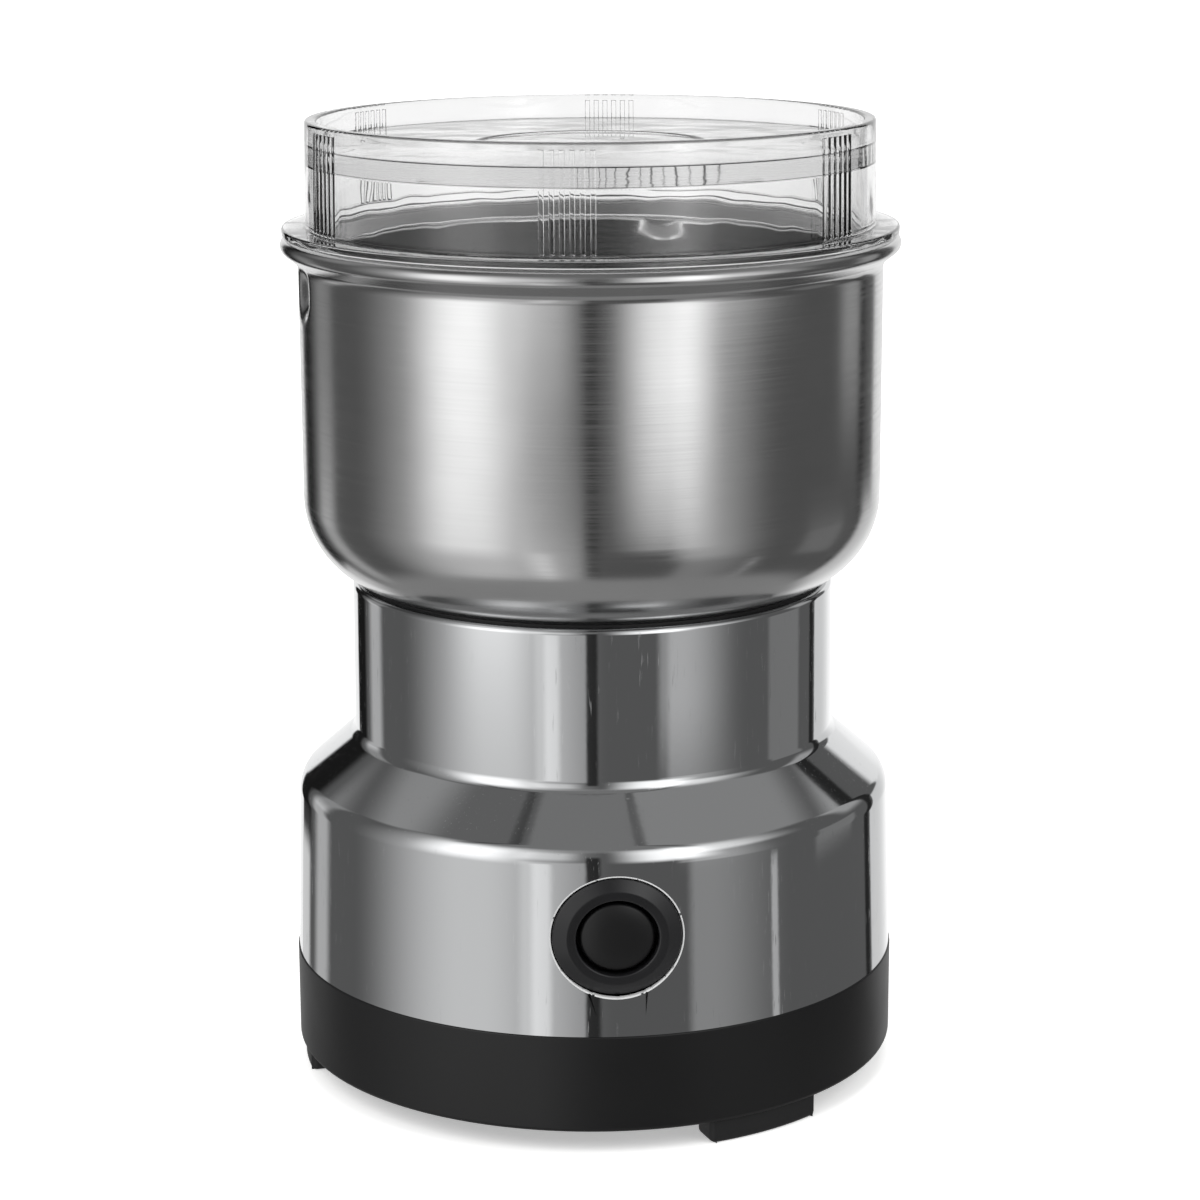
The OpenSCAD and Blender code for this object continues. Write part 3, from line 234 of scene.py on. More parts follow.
basePlastic = mouldedPlastic("satin_black_abs", "#070708", "#0d0d0e", 0.42)
bezelPlastic = mouldedPlastic("black_nylon_bezel", "#141415", "#1b1b1d", 0.3, 0.35, 0.004)
capPlastic = mouldedPlastic("black_nylon_button", "#060607", "#0b0b0c", 0.42, 0.35, 0.006)
rubber = mouldedPlastic("black_rubber", "#131314", "#1c1c1d", 0.55, 0.8, 0.02)
chrome = polishedChrome()
# the torn metal of the punched hole's edge is rougher and scatters light; its near-white colour is a painted
# highlight, so it is pale from every side
paintedHighlightEdge = mouldedPlastic("sheared_edge_painted_highlight", "#c9cacb", "#efefef", 0.45, 0.4, 0.02, Metallic=0.25)
stainless = spunStainless()
clearPlastic = clearStyrene()
clearDull = clearStyrene("clear_styrene_core_side", 0.06)  # as left by the mould's duller half
bladeSteel = workedMetal("ground_blade_steel", "#b9bbbd", "#d6d7d8", 0.2, (900, 900, 2500), 0.003)

# What each finish slot of the part gets where its own solids stay in view
finishes = {
    "clear_lid": clearPlastic,
    "brushed_stainless": stainless,
    "chromed_steel": chrome,
    "base_plastic": basePlastic,
    "button_plastic": capPlastic,
    "rubber": rubber,
    "inner_plastic": mouldedPlastic("glass_filled_nylon", "#26272a", "#35363a", 0.5, 1.2, 0.03),
    "phenolic": mouldedPlastic("pressed_phenolic", "#33281f", "#4a3a2c", 0.4, 0.9, 0.02),
    "nylon": mouldedPlastic("natural_nylon", "#cfc9bb", "#e2ddd0", 0.42, 1.0, 0.01),
    "zinc_steel": workedMetal("zinc_plated_steel", "#9fa3a8", "#c3c7cb", 0.3, (700, 700, 700)),
    "pressed_steel": workedMetal("pressed_sheet_steel", "#7f8387", "#a2a6aa", 0.38, (300, 300, 300)),
    "ground_steel": workedMetal("ground_shaft_steel", "#a6a9ad", "#c5c8cb", 0.18, (200, 200, 6000)),
    "blade_steel": bladeSteel,
    "spring_steel": workedMetal("spring_wire_steel", "#85888c", "#a9acb0", 0.28, (1500, 1500, 1500)),
    "core_steel": laminatedSteel(),
    "bronze": workedMetal("sintered_bronze", "#8d6a3c", "#b48a52", 0.45, (1800, 1800, 1800), 0.01),
    "brass": workedMetal("drawn_brass", "#b3924a", "#cfb067", 0.28, (800, 800, 800)),
    "bare_copper": workedMetal("turned_copper", "#a8643c", "#c98356", 0.25, (300, 300, 6000)),
    "enamelled_copper": woundCopper(),
    "carbon": mouldedPlastic("pressed_carbon", "#1d1d1e", "#2f2f31", 0.6, 0.4, 0.01),
    "capacitor_case": mouldedPlastic("dipped_capacitor_case", "#a9831f", "#c49a32", 0.35, 1.5, 0.02),
    "lead_brown": mouldedPlastic("brown_wire_insulation", "#4f2417", "#66301f", 0.4, 2.0, 0.01),
    "lead_blue": mouldedPlastic("blue_wire_insulation", "#1f3d68", "#2a4f82", 0.4, 2.0, 0.01),
}
for part in frame["record"]["subparts"]:
    node = frame["nodes"][part["node"]]
    node.data.materials.clear()
    node.data.materials.append(finishes[part["material_slot"]])
print("materials made and given to", len(frame["nodes"]), "nodes")


# Ways of working that the pieces share

def chooseOnly(piece):
    bpy.ops.object.select_all(action="DESELECT")
    piece.select_set(True)
    bpy.context.view_layer.objects.active = piece


def edit(piece):
    chooseOnly(piece)
    bpy.ops.object.mode_set(mode="EDIT")


def copyOf(piece):
    copy = piece.copy()
    copy.data = piece.data.copy()
    bpy.context.scene.collection.objects.link(copy)
    return copy


def addCylinder(radius, depth, location=(0, 0, 0), lying=False, vertices=48):
    # radius and depth in millimetres, location in metres, upright or lying along Y
    bpy.ops.mesh.primitive_cylinder_add(vertices=vertices, radius=radius * mm, depth=depth * mm,
                                        location=location, rotation=(math.radians(90 * lying), 0, 0))
    return bpy.context.object


def pick(piece, kind, test):
    # selects in edit mode what passes the test, and nothing else
    bpy.ops.mesh.select_mode(type={"verts": "VERT", "edges": "EDGE", "faces": "FACE"}[kind])
    bpy.ops.mesh.select_all(action="DESELECT")
    mesh = bmesh.from_edit_mesh(piece.data)
    found = [part for part in getattr(mesh, kind) if test(part)]
    for part in found:
        part.select_set(True)
    mesh.select_flush_mode()
    bmesh.update_edit_mesh(piece.data)
    return len(found)


def drawOutline(name, corners, closed=True):
    # draws (radius, height, rounding, steps) corners in millimetres as a chain of edges at +X
    bpy.ops.object.select_all(action="DESELECT")
    bpy.ops.mesh.primitive_plane_add(size=mm)
    piece = bpy.context.object
    piece.name = piece.data.name = name
    bpy.ops.object.mode_set(mode="EDIT")
    bpy.ops.mesh.select_mode(type="VERT")
    bpy.ops.mesh.merge(type="CENTER")
    points = [Vector((c[0], 0, c[1])) * mm for c in corners]
    bpy.ops.transform.translate(value=points[0])
    for last, point in zip(points, points[1:]):
        bpy.ops.mesh.extrude_region_move(TRANSFORM_OT_translate={"value": point - last})
    if closed:
        ends = (points[0], points[-1])
        pick(piece, "verts", lambda v: min((v.co - end).length for end in ends) < samePlace)
        bpy.ops.mesh.edge_face_add()
    for i, corner in enumerate(corners):
        if len(corner) > 2 and corner[2]:
            before, here, after = points[i - 1], points[i], points[(i + 1) % len(points)]
            half = (before - here).angle(after - here) / 2
            pick(piece, "verts", lambda v: (v.co - here).length < samePlace)
            bpy.ops.mesh.bevel(offset=corner[2] * mm / math.tan(half), segments=corner[3],
                               affect="VERTICES", profile=0.5)
    return piece


def cutOutline(piece, heights, inside=0, outside=1000):
    # adds points to the outline's wall at these heights, so that the wall can be shaped there
    for height in heights:
        pick(piece, "edges", lambda e: inside * mm < min(v.co.x for v in e.verts)
             and max(v.co.x for v in e.verts) < outside * mm
             and min(v.co.z for v in e.verts) < height * mm < max(v.co.z for v in e.verts))
        bpy.ops.mesh.bisect(plane_co=(0, 0, height * mm), plane_no=(0, 0, 1))


def turnOutline(piece, turns=((128, 360),), smoothAngle=32):
    # spins the outline round Z in (steps, degrees) stretches, closes it and smooths it
    bpy.ops.mesh.select_mode(type="VERT")
    bpy.ops.mesh.select_all(action="SELECT")
    for steps, degrees in turns:
        bpy.ops.mesh.spin(steps=steps, angle=math.radians(degrees), center=(0, 0, 0), axis=(0, 0, 1),
                          use_auto_merge=False)
    closeMesh(piece, smoothAngle)


def closeMesh(piece, smoothAngle=32):
    # merges doubles, turns the faces outwards, leaves edit mode and smooths
    bpy.ops.mesh.select_all(action="SELECT")
    bpy.ops.mesh.remove_doubles(threshold=samePlace)
    bpy.ops.mesh.normals_make_consistent(inside=False)
    bpy.ops.object.mode_set(mode="OBJECT")
    bpy.ops.object.shade_smooth_by_angle(angle=math.radians(smoothAngle))
    # the large faces keep their own direction, so that only the roundings between them bend the light
    steady = piece.modifiers.new("steady", "WEIGHTED_NORMAL")
    steady.weight, steady.keep_sharp = 90, True
    bpy.ops.object.modifier_apply(modifier="steady")


def placePiece(piece, location=(0, 0, 0), turn=(0, 0, 0)):
    # puts a finished piece in place and leaves that place in its mesh
    chooseOnly(piece)
    piece.location = [x * mm for x in location]
    piece.rotation_euler = [math.radians(x) for x in turn]
    bpy.ops.object.transform_apply(location=True, rotation=True, scale=True)


def cutAway(piece, cutter, operation="DIFFERENCE"):
    chooseOnly(piece)
    cut = piece.modifiers.new("cut", "BOOLEAN")
    cut.object, cut.operation, cut.solver = cutter, operation, "EXACT"
    bpy.ops.object.modifier_apply(modifier="cut")
    bpy.data.objects.remove(cutter)


def keepRoundShading(piece, rounded, test):
    # a cut leaves odd faces on a curved wall, so the wall's shading is taken from the uncut shape
    chooseOnly(piece)
    wall = piece.vertex_groups.new(name="wall")
    wall.add([v.index for v in piece.data.vertices if test(v.co)], 1.0, "REPLACE")
    copy = piece.modifiers.new("shading", "DATA_TRANSFER")
    copy.object, copy.vertex_group = rounded, "wall"
    copy.use_loop_data, copy.data_types_loops = True, {"CUSTOM_NORMAL"}
    copy.loop_mapping = "POLYINTERP_NEAREST"
    bpy.ops.object.modifier_apply(modifier="shading")
    piece.vertex_groups.clear()
    bpy.data.objects.remove(rounded)


def finishPiece(piece, material, body, slot, *nodes):
    # gives the piece its material, the body it moves with and the nodes it stands for; slot is not used
    piece.data.materials.clear()
    piece.data.materials.append(material)
    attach(piece, body)
    if nodes:
        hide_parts(*nodes)
    print("made", piece.name, len(piece.data.polygons), "faces")
    return piece


def angleOf(co):
    # angle round the grinder in degrees, 0 at the button and growing towards +X
    return math.degrees(math.atan2(co.x, -co.y))


def around(angle, radius, height):
    # the point in metres at that angle, with radius and height in millimetres
    a = math.radians(angle)
    return Vector((math.sin(a) * radius, -math.cos(a) * radius, height)) * mm


# Housing: polished sheet drum with a conical shoulder and a neck

# corners are (radius, height, rounding) in millimetres
housing = {"low": (52.2, 20.6), "shoulder": (51.3, 51.0, 4.2), "waist": (41.5, 59.6, 2.6),
           "top": (41.35, 86.1), "lip": (37.0, 85.6), "sheet": 0.8, "steps": 288,
           "rings": range(24, 49, 4),  # extra rings in the drum's wall, so that the cut stays local
           "holeRadius": 10.7, "holeHeight": 37.3, "edge": 0.3,
           "squat": 0.94}  # the hole and button look a little lower than wide


def makeHousing():
    h, t = housing, housing["sheet"]
    shoulder, waist = h["shoulder"], h["waist"]
    outline = [h["low"], (*shoulder, 14), (*waist, 14), (*h["top"], 1.0, 7), h["lip"],
               (h["lip"][0], h["lip"][1] - t), (h["top"][0] - t, h["top"][1] - t),
               (waist[0] - t, waist[1] - t / 2, waist[2], 6),
               (shoulder[0] - t, shoulder[1] - t / 2, shoulder[2], 6), (h["low"][0] - t, h["low"][1])]
    piece = drawOutline("chrome_housing", outline)
    cutOutline(piece, h["rings"], 48)
    turnOutline(piece, ((h["steps"], 360),))
    rounded = copyOf(piece)
    punch = addCylinder(h["holeRadius"], 30, (0, -50 * mm, h["holeHeight"] * mm), lying=True, vertices=160)
    punch.scale = (1, h["squat"], 1)
    cutAway(piece, punch)
    # the punched hole's rim is turned to a narrow chamfer, which carries the cut edge with its painted
    # highlight
    edit(piece)
    fromHole = lambda co: math.hypot(co.x, (co.z - h["holeHeight"] * mm) / h["squat"]) / mm
    onRim = lambda v: abs(fromHole(v.co) - h["holeRadius"]) < 0.02 and v.co.y < 0
    outer = lambda v: math.hypot(v.co.x, v.co.y) > (h["shoulder"][0] - 0.1) * mm
    pick(piece, "edges", lambda e: all(onRim(v) and outer(v) for v in e.verts))
    bpy.ops.mesh.bevel(offset=h["edge"] * mm, segments=2, affect="EDGES", profile=0.6)
    closeMesh(piece)
    # the drum's front wall round the hole, short of the roundings above and below it
    keepRoundShading(piece, rounded, lambda co: co.y < 0 and abs(co.x) < 22 * mm
                     and h["holeRadius"] + h["edge"] - 0.03 < fromHole(co)
                     and math.hypot(co.x, co.y) > (h["shoulder"][0] - 0.3) * mm
                     and (h["low"][1] + 0.2) * mm < co.z < (h["shoulder"][1] - 4) * mm)
    finishPiece(piece, chrome, "stand", "chromed_steel", "housing_shell")
    # the chamfer's faces get the near-white edge colour, a painted highlight
    piece.data.materials.append(paintedHighlightEdge)
    for face in piece.data.polygons:
        corners = [piece.data.vertices[i].co for i in face.vertices]
        if all(co.y < 0 and h["holeRadius"] - 0.1 < fromHole(co) < h["holeRadius"] + h["edge"] + 0.03
               for co in corners):
            face.material_index = 1


makeHousing()


# Bowl: spun stainless cup with a rolled rim and pressed dimples

bowl = {"radius": 49.45, "under": 85.3, "sheet": 0.8, "fillet": 15.5, "flareHeight": 140.6,
        "bead": (50.9, 143.7, 1.5), "hole": 6.6, "steps": 300,
        "rings": list(range(104, 139, 5)) + [131 + 0.65 * i for i in range(14)],  # close at the dimples
        "dimples": (-80, 160), "dimpleHeight": 136.8, "dimpleDepth": 1.7, "dimpleReach": 4.9}


def makeBowl():
    b, t = bowl, bowl["sheet"]
    r, under = b["radius"], b["under"]
    beadR, beadZ, beadSize = b["bead"]
    bead = [(beadR + beadSize * math.cos(math.radians(a)), beadZ + beadSize * math.sin(math.radians(a)))
            for a in range(-60, 181, 12)]  # the rolled rim, drawn from its outer side over the top
    outline = [(b["hole"], under), (r, under, b["fillet"], 20), (r, b["flareHeight"], 2.0, 5), *bead,
               (r - t, b["flareHeight"] + 0.5, 2.0, 4), (r - t, under + t, b["fillet"] - t, 18),
               (b["hole"], under + t)]
    piece = drawOutline("steel_bowl", outline)
    cutOutline(piece, b["rings"], 48)
    turnOutline(piece, ((b["steps"], 360),))
    # each dimple is pushed in with a soft edge, through the sheet
    edit(piece)
    for angle in b["dimples"]:
        centre = around(angle, r - t / 2, b["dimpleHeight"])
        pick(piece, "verts", lambda v: (v.co - centre).length < 1.2 * mm)
        bpy.ops.transform.translate(value=around(angle, -b["dimpleDepth"], 0), use_proportional_edit=True,
                                    proportional_edit_falloff="SMOOTH", use_proportional_connected=False,
                                    proportional_size=b["dimpleReach"] * mm)
    bpy.ops.object.mode_set(mode="OBJECT")
    finishPiece(piece, stainless, "stand", "brushed_stainless", "bowl")


makeBowl()


# Lid: clear moulding with a flange, a skirt, a recessed disc and six groups of grip ribs

# the first group of ribs is centred at the phase, in degrees from the button
lid = {"flangeHeight": 145.35, "flange": 1.4, "flangeRadius": 52.1, "skirt": 3.4, "skirtRadius": 47.8,
       "wallLow": 48.1, "wallHigh": 47.85, "inside": 45.85, "top": 164.5, "discTop": 160.4, "disc": 3.0,
       "dishRadius": 19, "dish": 0.3, "groups": 6, "ribs": 6, "ribPitch": 1.62, "ribWidth": 0.9,
       "ribHeight": 0.38, "ribRound": 0.24, "phase": -8.5, "ribDrop": 1.1}


def makeLid():
    d = lid
    flangeTop, ribTop = d["flangeHeight"] + d["flange"], d["top"] - d["ribDrop"]
    skirtLow, discLow = d["flangeHeight"] - d["skirt"], d["discTop"] - d["disc"]
    outline = [(0, discLow), (d["inside"], discLow, 0.4, 3), (d["inside"], skirtLow, 0.3, 2),
               (d["skirtRadius"], skirtLow, 0.4, 3),
               (d["skirtRadius"], d["flangeHeight"], 0.25, 2), (d["flangeRadius"], d["flangeHeight"], 0.4, 4),
               (d["flangeRadius"], flangeTop, 0.4, 4), (d["wallLow"], flangeTop, 0.4, 3),
               (d["wallHigh"], d["top"], 0.5, 4), (d["inside"], d["top"], 0.5, 4),
               (d["inside"], d["discTop"], 0.4, 3), (d["dishRadius"] + d["dish"], d["discTop"], 0.8, 4),
               (d["dishRadius"], d["discTop"] - d["dish"], 0.8, 4), (0, d["discTop"] - d["dish"])]
    piece = drawOutline("clear_lid", outline, closed=False)
    cutOutline(piece, (flangeTop + 0.5, ribTop), 47)
    # fine steps across each rib and gap, wider ones between the groups
    degrees = 360 / (2 * math.pi * d["wallLow"])
    rib, gap = d["ribWidth"] * degrees, (d["ribPitch"] - d["ribWidth"]) * degrees
    group = d["ribs"] * rib + (d["ribs"] - 1) * gap
    first = d["phase"] - group / 2
    turns = []
    for i in range(d["groups"]):
        for j in range(d["ribs"]):
            turns += [(1, rib)] + ([(1, gap)] if j < d["ribs"] - 1 else [])
        turns += [(20, 360 / d["groups"] - group)]
    # spinning goes clockwise, so the outline at +X is first turned to where a group ends
    bpy.ops.mesh.select_all(action="SELECT")
    bpy.ops.object.mode_set(mode="OBJECT")
    piece.rotation_euler = (0, 0, math.radians(first + group - 90))
    bpy.ops.object.transform_apply(rotation=True)
    bpy.ops.object.mode_set(mode="EDIT")
    turnOutline(piece, turns, 26)
    edit(piece)

    def onRib(face):
        co = face.calc_center_median()
        onWall = co.xy.length > (d["skirtRadius"] - 0.02) * mm and face.normal.xy.length > 0.9
        if not onWall or face.normal.xy.dot(co.xy) < 0 or not (flangeTop + 0.4) * mm < co.z < ribTop * mm:
            return False
        step = (angleOf(co) - first) % (360 / d["groups"])
        return step < group and step % (rib + gap) < rib

    print("rib faces", pick(piece, "faces", onRib))
    bpy.ops.mesh.extrude_region()
    grow = 1 + d["ribHeight"] / d["wallLow"]
    bpy.ops.transform.resize(value=(grow, grow, 1), center_override=(0, 0, 0))
    # the ribs' outer edges are rounded, and the wall under them is left as it is
    taper = (d["wallLow"] - d["wallHigh"]) / (d["top"] - flangeTop)
    overWall = lambda co: co.xy.length / mm - d["wallLow"] + taper * (co.z / mm - flangeTop)
    pick(piece, "edges", lambda e: min(overWall(v.co) for v in e.verts) > d["ribHeight"] * 0.4
         and min(v.co.z for v in e.verts) > (flangeTop + 0.3) * mm)
    bpy.ops.mesh.bevel(offset=d["ribRound"] * mm, segments=2, affect="EDGES", profile=0.5)
    closeMesh(piece, 26)
    finishPiece(piece, clearPlastic, "lid", "clear_lid", "lid")
    # the disc's underside has the dull face of the mould's core
    piece.data.materials.append(clearDull)
    for face in piece.data.polygons:
        underneath = face.normal.z < -0.9 and face.center.z < (discLow + 0.2) * mm
        if underneath and face.center.xy.length < (d["inside"] - 0.3) * mm:
            face.material_index = 1


makeLid()


# Base: black moulded cup, its vents and screw recesses, and the spigot inside the drum

base = {"radius": 52.4, "low": 4.0, "top": 20.6, "spigot": 51.15, "spigotTop": 24.0, "inner": 48.95,
        "floor": 6.2, "vents": 12, "ventStart": 12, "ventLength": 9, "ventWidth": 2.4, "ventCut": 8,
        "screws": (90, 210, 330), "screwCircle": 34.0, "screwHole": 3.6, "screwCut": 5.6,
        "inletHeight": 12.5, "inletPocket": 7.2, "inletFace": 50.9, "inletBore": 5.15}


def makeBase():
    b = base
    outline = [(0, b["low"]), (b["radius"], b["low"], 0.8, 5), (b["radius"], b["top"], 0.35, 3),
               (b["spigot"], b["top"]), (b["spigot"], b["spigotTop"], 0.5, 3), (b["inner"], b["spigotTop"]),
               (b["inner"], b["floor"], 1.0, 3), (0, b["floor"])]
    piece = drawOutline("black_base", outline, closed=False)
    turnOutline(piece, ((192, 360),))
    rounded = copyOf(piece)
    cutters = []
    for i in range(b["vents"]):
        middle = around(i * 360 / b["vents"], b["ventStart"] + b["ventLength"] / 2, b["low"])
        bpy.ops.mesh.primitive_cube_add(size=mm, location=middle,
                                        rotation=(0, 0, math.radians(i * 360 / b["vents"])))
        bpy.context.object.scale = (b["ventWidth"], b["ventLength"], b["ventCut"])
        cutters.append(bpy.context.object)
    for angle in b["screws"]:
        cutters.append(addCylinder(b["screwHole"], b["screwCut"], around(angle, b["screwCircle"], b["low"])))
    # the cord's inlet: a flat pocket in the outside, and the bore through the wall
    inlet = b["inletHeight"] * mm
    cutters.append(addCylinder(b["inletPocket"], 10, (0, (b["inletFace"] + 5) * mm, inlet), True, 96))
    cutters.append(addCylinder(b["inletBore"], 20, (0, 48 * mm, inlet), True, 96))
    for cutter in cutters:
        cutAway(piece, cutter)
    edit(piece)
    closeMesh(piece)
    keepRoundShading(piece, rounded, lambda co: co.xy.length > (b["radius"] - 0.4) * mm and co.y > 0
                     and math.hypot(co.x, co.z - inlet) > (b["inletPocket"] + 0.1) * mm)
    finishPiece(piece, basePlastic, "stand", "base_plastic", "base")


makeBase()


# Feet: three rubber pads with rounded ends

feet = {"foot_right": 30, "foot_rear": 150, "foot_left": 270}  # angles as angleOf gives them
footShape = {"outer": 51.5, "width": 6.2, "height": 4.0, "halfAngle": 12.25, "corner": 1.2, "round": 0.8}


def makeFoot(name, angle):
    f = footShape
    outline = [(f["outer"] - f["width"], 0), (f["outer"], 0), (f["outer"], f["height"]),
               (f["outer"] - f["width"], f["height"])]
    piece = drawOutline("rubber_" + name, outline)
    bpy.ops.mesh.select_all(action="SELECT")
    bpy.ops.mesh.edge_face_add()
    bpy.ops.mesh.spin(steps=24, angle=math.radians(2 * f["halfAngle"]), center=(0, 0, 0), axis=(0, 0, 1),
                      use_auto_merge=False)
    bpy.ops.mesh.select_all(action="SELECT")
    bpy.ops.mesh.remove_doubles(threshold=samePlace)
    bpy.ops.mesh.normals_make_consistent(inside=False)
    pick(piece, "edges", lambda e: abs(e.verts[0].co.z - e.verts[1].co.z) > 1 * mm
         and e.calc_face_angle(0) > math.radians(60))
    bpy.ops.mesh.bevel(offset=f["corner"] * mm, segments=5, affect="EDGES", profile=0.5)
    pick(piece, "edges", lambda e: e.is_manifold and e.calc_face_angle(0) > math.radians(60)
         and max(v.co.z for v in e.verts) < 0.1 * mm)
    bpy.ops.mesh.bevel(offset=f["round"] * mm, segments=4, affect="EDGES", profile=0.5)
    closeMesh(piece, 40)
    placePiece(piece, turn=(0, 0, angle - 90 + f["halfAngle"]))
    finishPiece(piece, rubber, "stand", "rubber", name)


for footName, footAngle in feet.items():
    makeFoot(footName, footAngle)


# Seal between the neck and the bowl

seal = {"inner": 38.0, "outer": 39.6, "low": 85.72}


def makeSeal():
    s = seal
    reach, centre = bowl["fillet"] + 0.05, bowl["under"] + bowl["fillet"]

    def rise(r):
        # height at this radius, just under the bowl's rounded underside
        return centre - math.sqrt(reach ** 2 - (r - bowl["radius"] + bowl["fillet"]) ** 2)

    under = [(r, rise(r)) for r in (s["outer"], 39.2, 38.8, 38.4, s["inner"])]
    piece = drawOutline("bowl_seal", [(s["inner"], s["low"]), (s["outer"], s["low"]), *under])
    turnOutline(piece, ((160, 360),))
    finishPiece(piece, rubber, "stand", "rubber", "bowl_gasket")


makeSeal()


# Button: bezel pressed into the drum, and the domed cap in its bore

# radii, and distances from the axis, where the front is at -Y
button = {"height": 37.3, "face": 52.1, "bezel": 10.55, "hole": 6.75, "step": 46.3, "back": 42.0,
          "flat": 8.35, "slope": 1.1, "flange": 1.1, "flangeDepth": 2, "bore": 7.9,
          "cap": 6.15, "capFront": 52.2, "dome": 0.9, "capInside": 50.0, "capWall": 1,
          "stem": 2.2, "stemEnd": 43.5, "collar": 7.5, "collarBack": 45.2, "collarFront": 46.2}


def makeButton():
    b = button
    flange, flangeFront = b["bezel"] + b["flange"], b["back"] + b["flangeDepth"]
    outline = [(b["hole"], b["step"]), (b["hole"], b["face"], 0.35, 4), (b["flat"], b["face"], 0.6, 4),
               (b["bezel"], b["face"] - b["slope"], 0.45, 4), (b["bezel"], flangeFront),
               (flange, flangeFront), (flange, b["back"]), (b["bore"], b["back"]), (b["bore"], b["step"])]
    bezel = drawOutline("button_bezel_ring", outline)
    turnOutline(bezel, ((128, 360),), 24)
    bezel.scale = (1, housing["squat"], 1)
    placePiece(bezel, (0, 0, b["height"]), (90, 0, 0))
    finishPiece(bezel, bezelPlastic, "stand", "button_plastic", "button_bezel")
    crown = [(b["cap"] * x, b["capFront"] - b["dome"] * 0.7 * x ** 2) for x in (0.7, 0.45, 0.2)]
    inner = b["cap"] - b["capWall"]
    outline = [(0, b["stemEnd"]), (b["stem"], b["stemEnd"]), (b["stem"], b["capInside"]),
               (inner, b["capInside"]), (inner, b["collarBack"]), (b["collar"], b["collarBack"]),
               (b["collar"], b["collarFront"]), (b["cap"], b["collarFront"]),
               (b["cap"], b["capFront"] - 0.85, 0.8, 6), *crown, (0, b["capFront"])]
    cap = drawOutline("button_dome", outline, closed=False)
    turnOutline(cap, ((128, 360),), 40)
    cap.scale = (1, housing["squat"], 1)
    placePiece(cap, (0, 0, b["height"]), (90, 0, 0))
    finishPiece(cap, capPlastic, "button", "button_plastic", "button_cap")


makeButton()


# Springs behind the button and the brushes, drawn at one length, though they shorten as these move

# wire is the wire's radius, fixedEnd 0 the end nearer the front and 1 the other, keep the length left
springs = {
    "button_spring": {"wire": 0.35, "coils": 5, "joint": "button_press", "fixedEnd": 1, "keep": 0.66},
    "brush_spring_front": {"wire": 0.25, "coils": 4, "joint": "brush_front_slide", "fixedEnd": 0,
                           "keep": 0.31},
    "brush_spring_rear": {"wire": 0.25, "coils": 4, "joint": "brush_rear_slide", "fixedEnd": 1,
                          "keep": 0.31},
}


def makeSpring(name, s):
    ends = [Vector(corner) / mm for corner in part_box(name)]
    wire, middle = s["wire"], (ends[0] + ends[1]) / 2
    bpy.ops.object.select_all(action="DESELECT")
    bpy.ops.mesh.primitive_circle_add(vertices=10, radius=wire * mm, rotation=(math.radians(90), 0, 0),
                                      location=((ends[1].x - ends[0].x - 2 * wire) / 2 * mm, 0, 0))
    piece = bpy.context.object
    piece.name = piece.data.name = name.replace("spring", "coil")
    bpy.ops.object.transform_apply(location=True, rotation=True)
    wind = piece.modifiers.new("wind", "SCREW")
    wind.angle, wind.screw_offset = math.radians(360 * s["coils"]), (ends[1].y - ends[0].y - 2 * wire) * mm
    wind.steps = wind.render_steps = 24 * s["coils"]
    bpy.ops.object.modifier_apply(modifier="wind")
    edit(piece)
    bpy.ops.mesh.select_all(action="SELECT")
    bpy.ops.mesh.fill_holes(sides=0)
    closeMesh(piece, 40)
    placePiece(piece, (middle.x, ends[0].y + wire, middle.z), (-90, 0, 0))
    finishPiece(piece, finishes["spring_steel"], "stand", "spring_steel", name)
    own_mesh(piece)


for springName, springShape in springs.items():
    makeSpring(springName, springShape)


# Blades on their hub, seen through the lid from above

# from the middle outwards: flat up to the bend, which eases in, then the tip with its corners cut
blades = {"span": 66, "width": 11, "thickness": 1.2, "flat": 14, "ease": 1.5, "easeLift": 0.11,
          "bend": 3.0, "edge": 0.35, "tip": 29, "tipCut": 0.22, "heelCut": 0.8, "bore": 2.52,
          "lower": {"angle": 20, "height": 92.5}, "upper": {"angle": 110, "height": 93.7}}


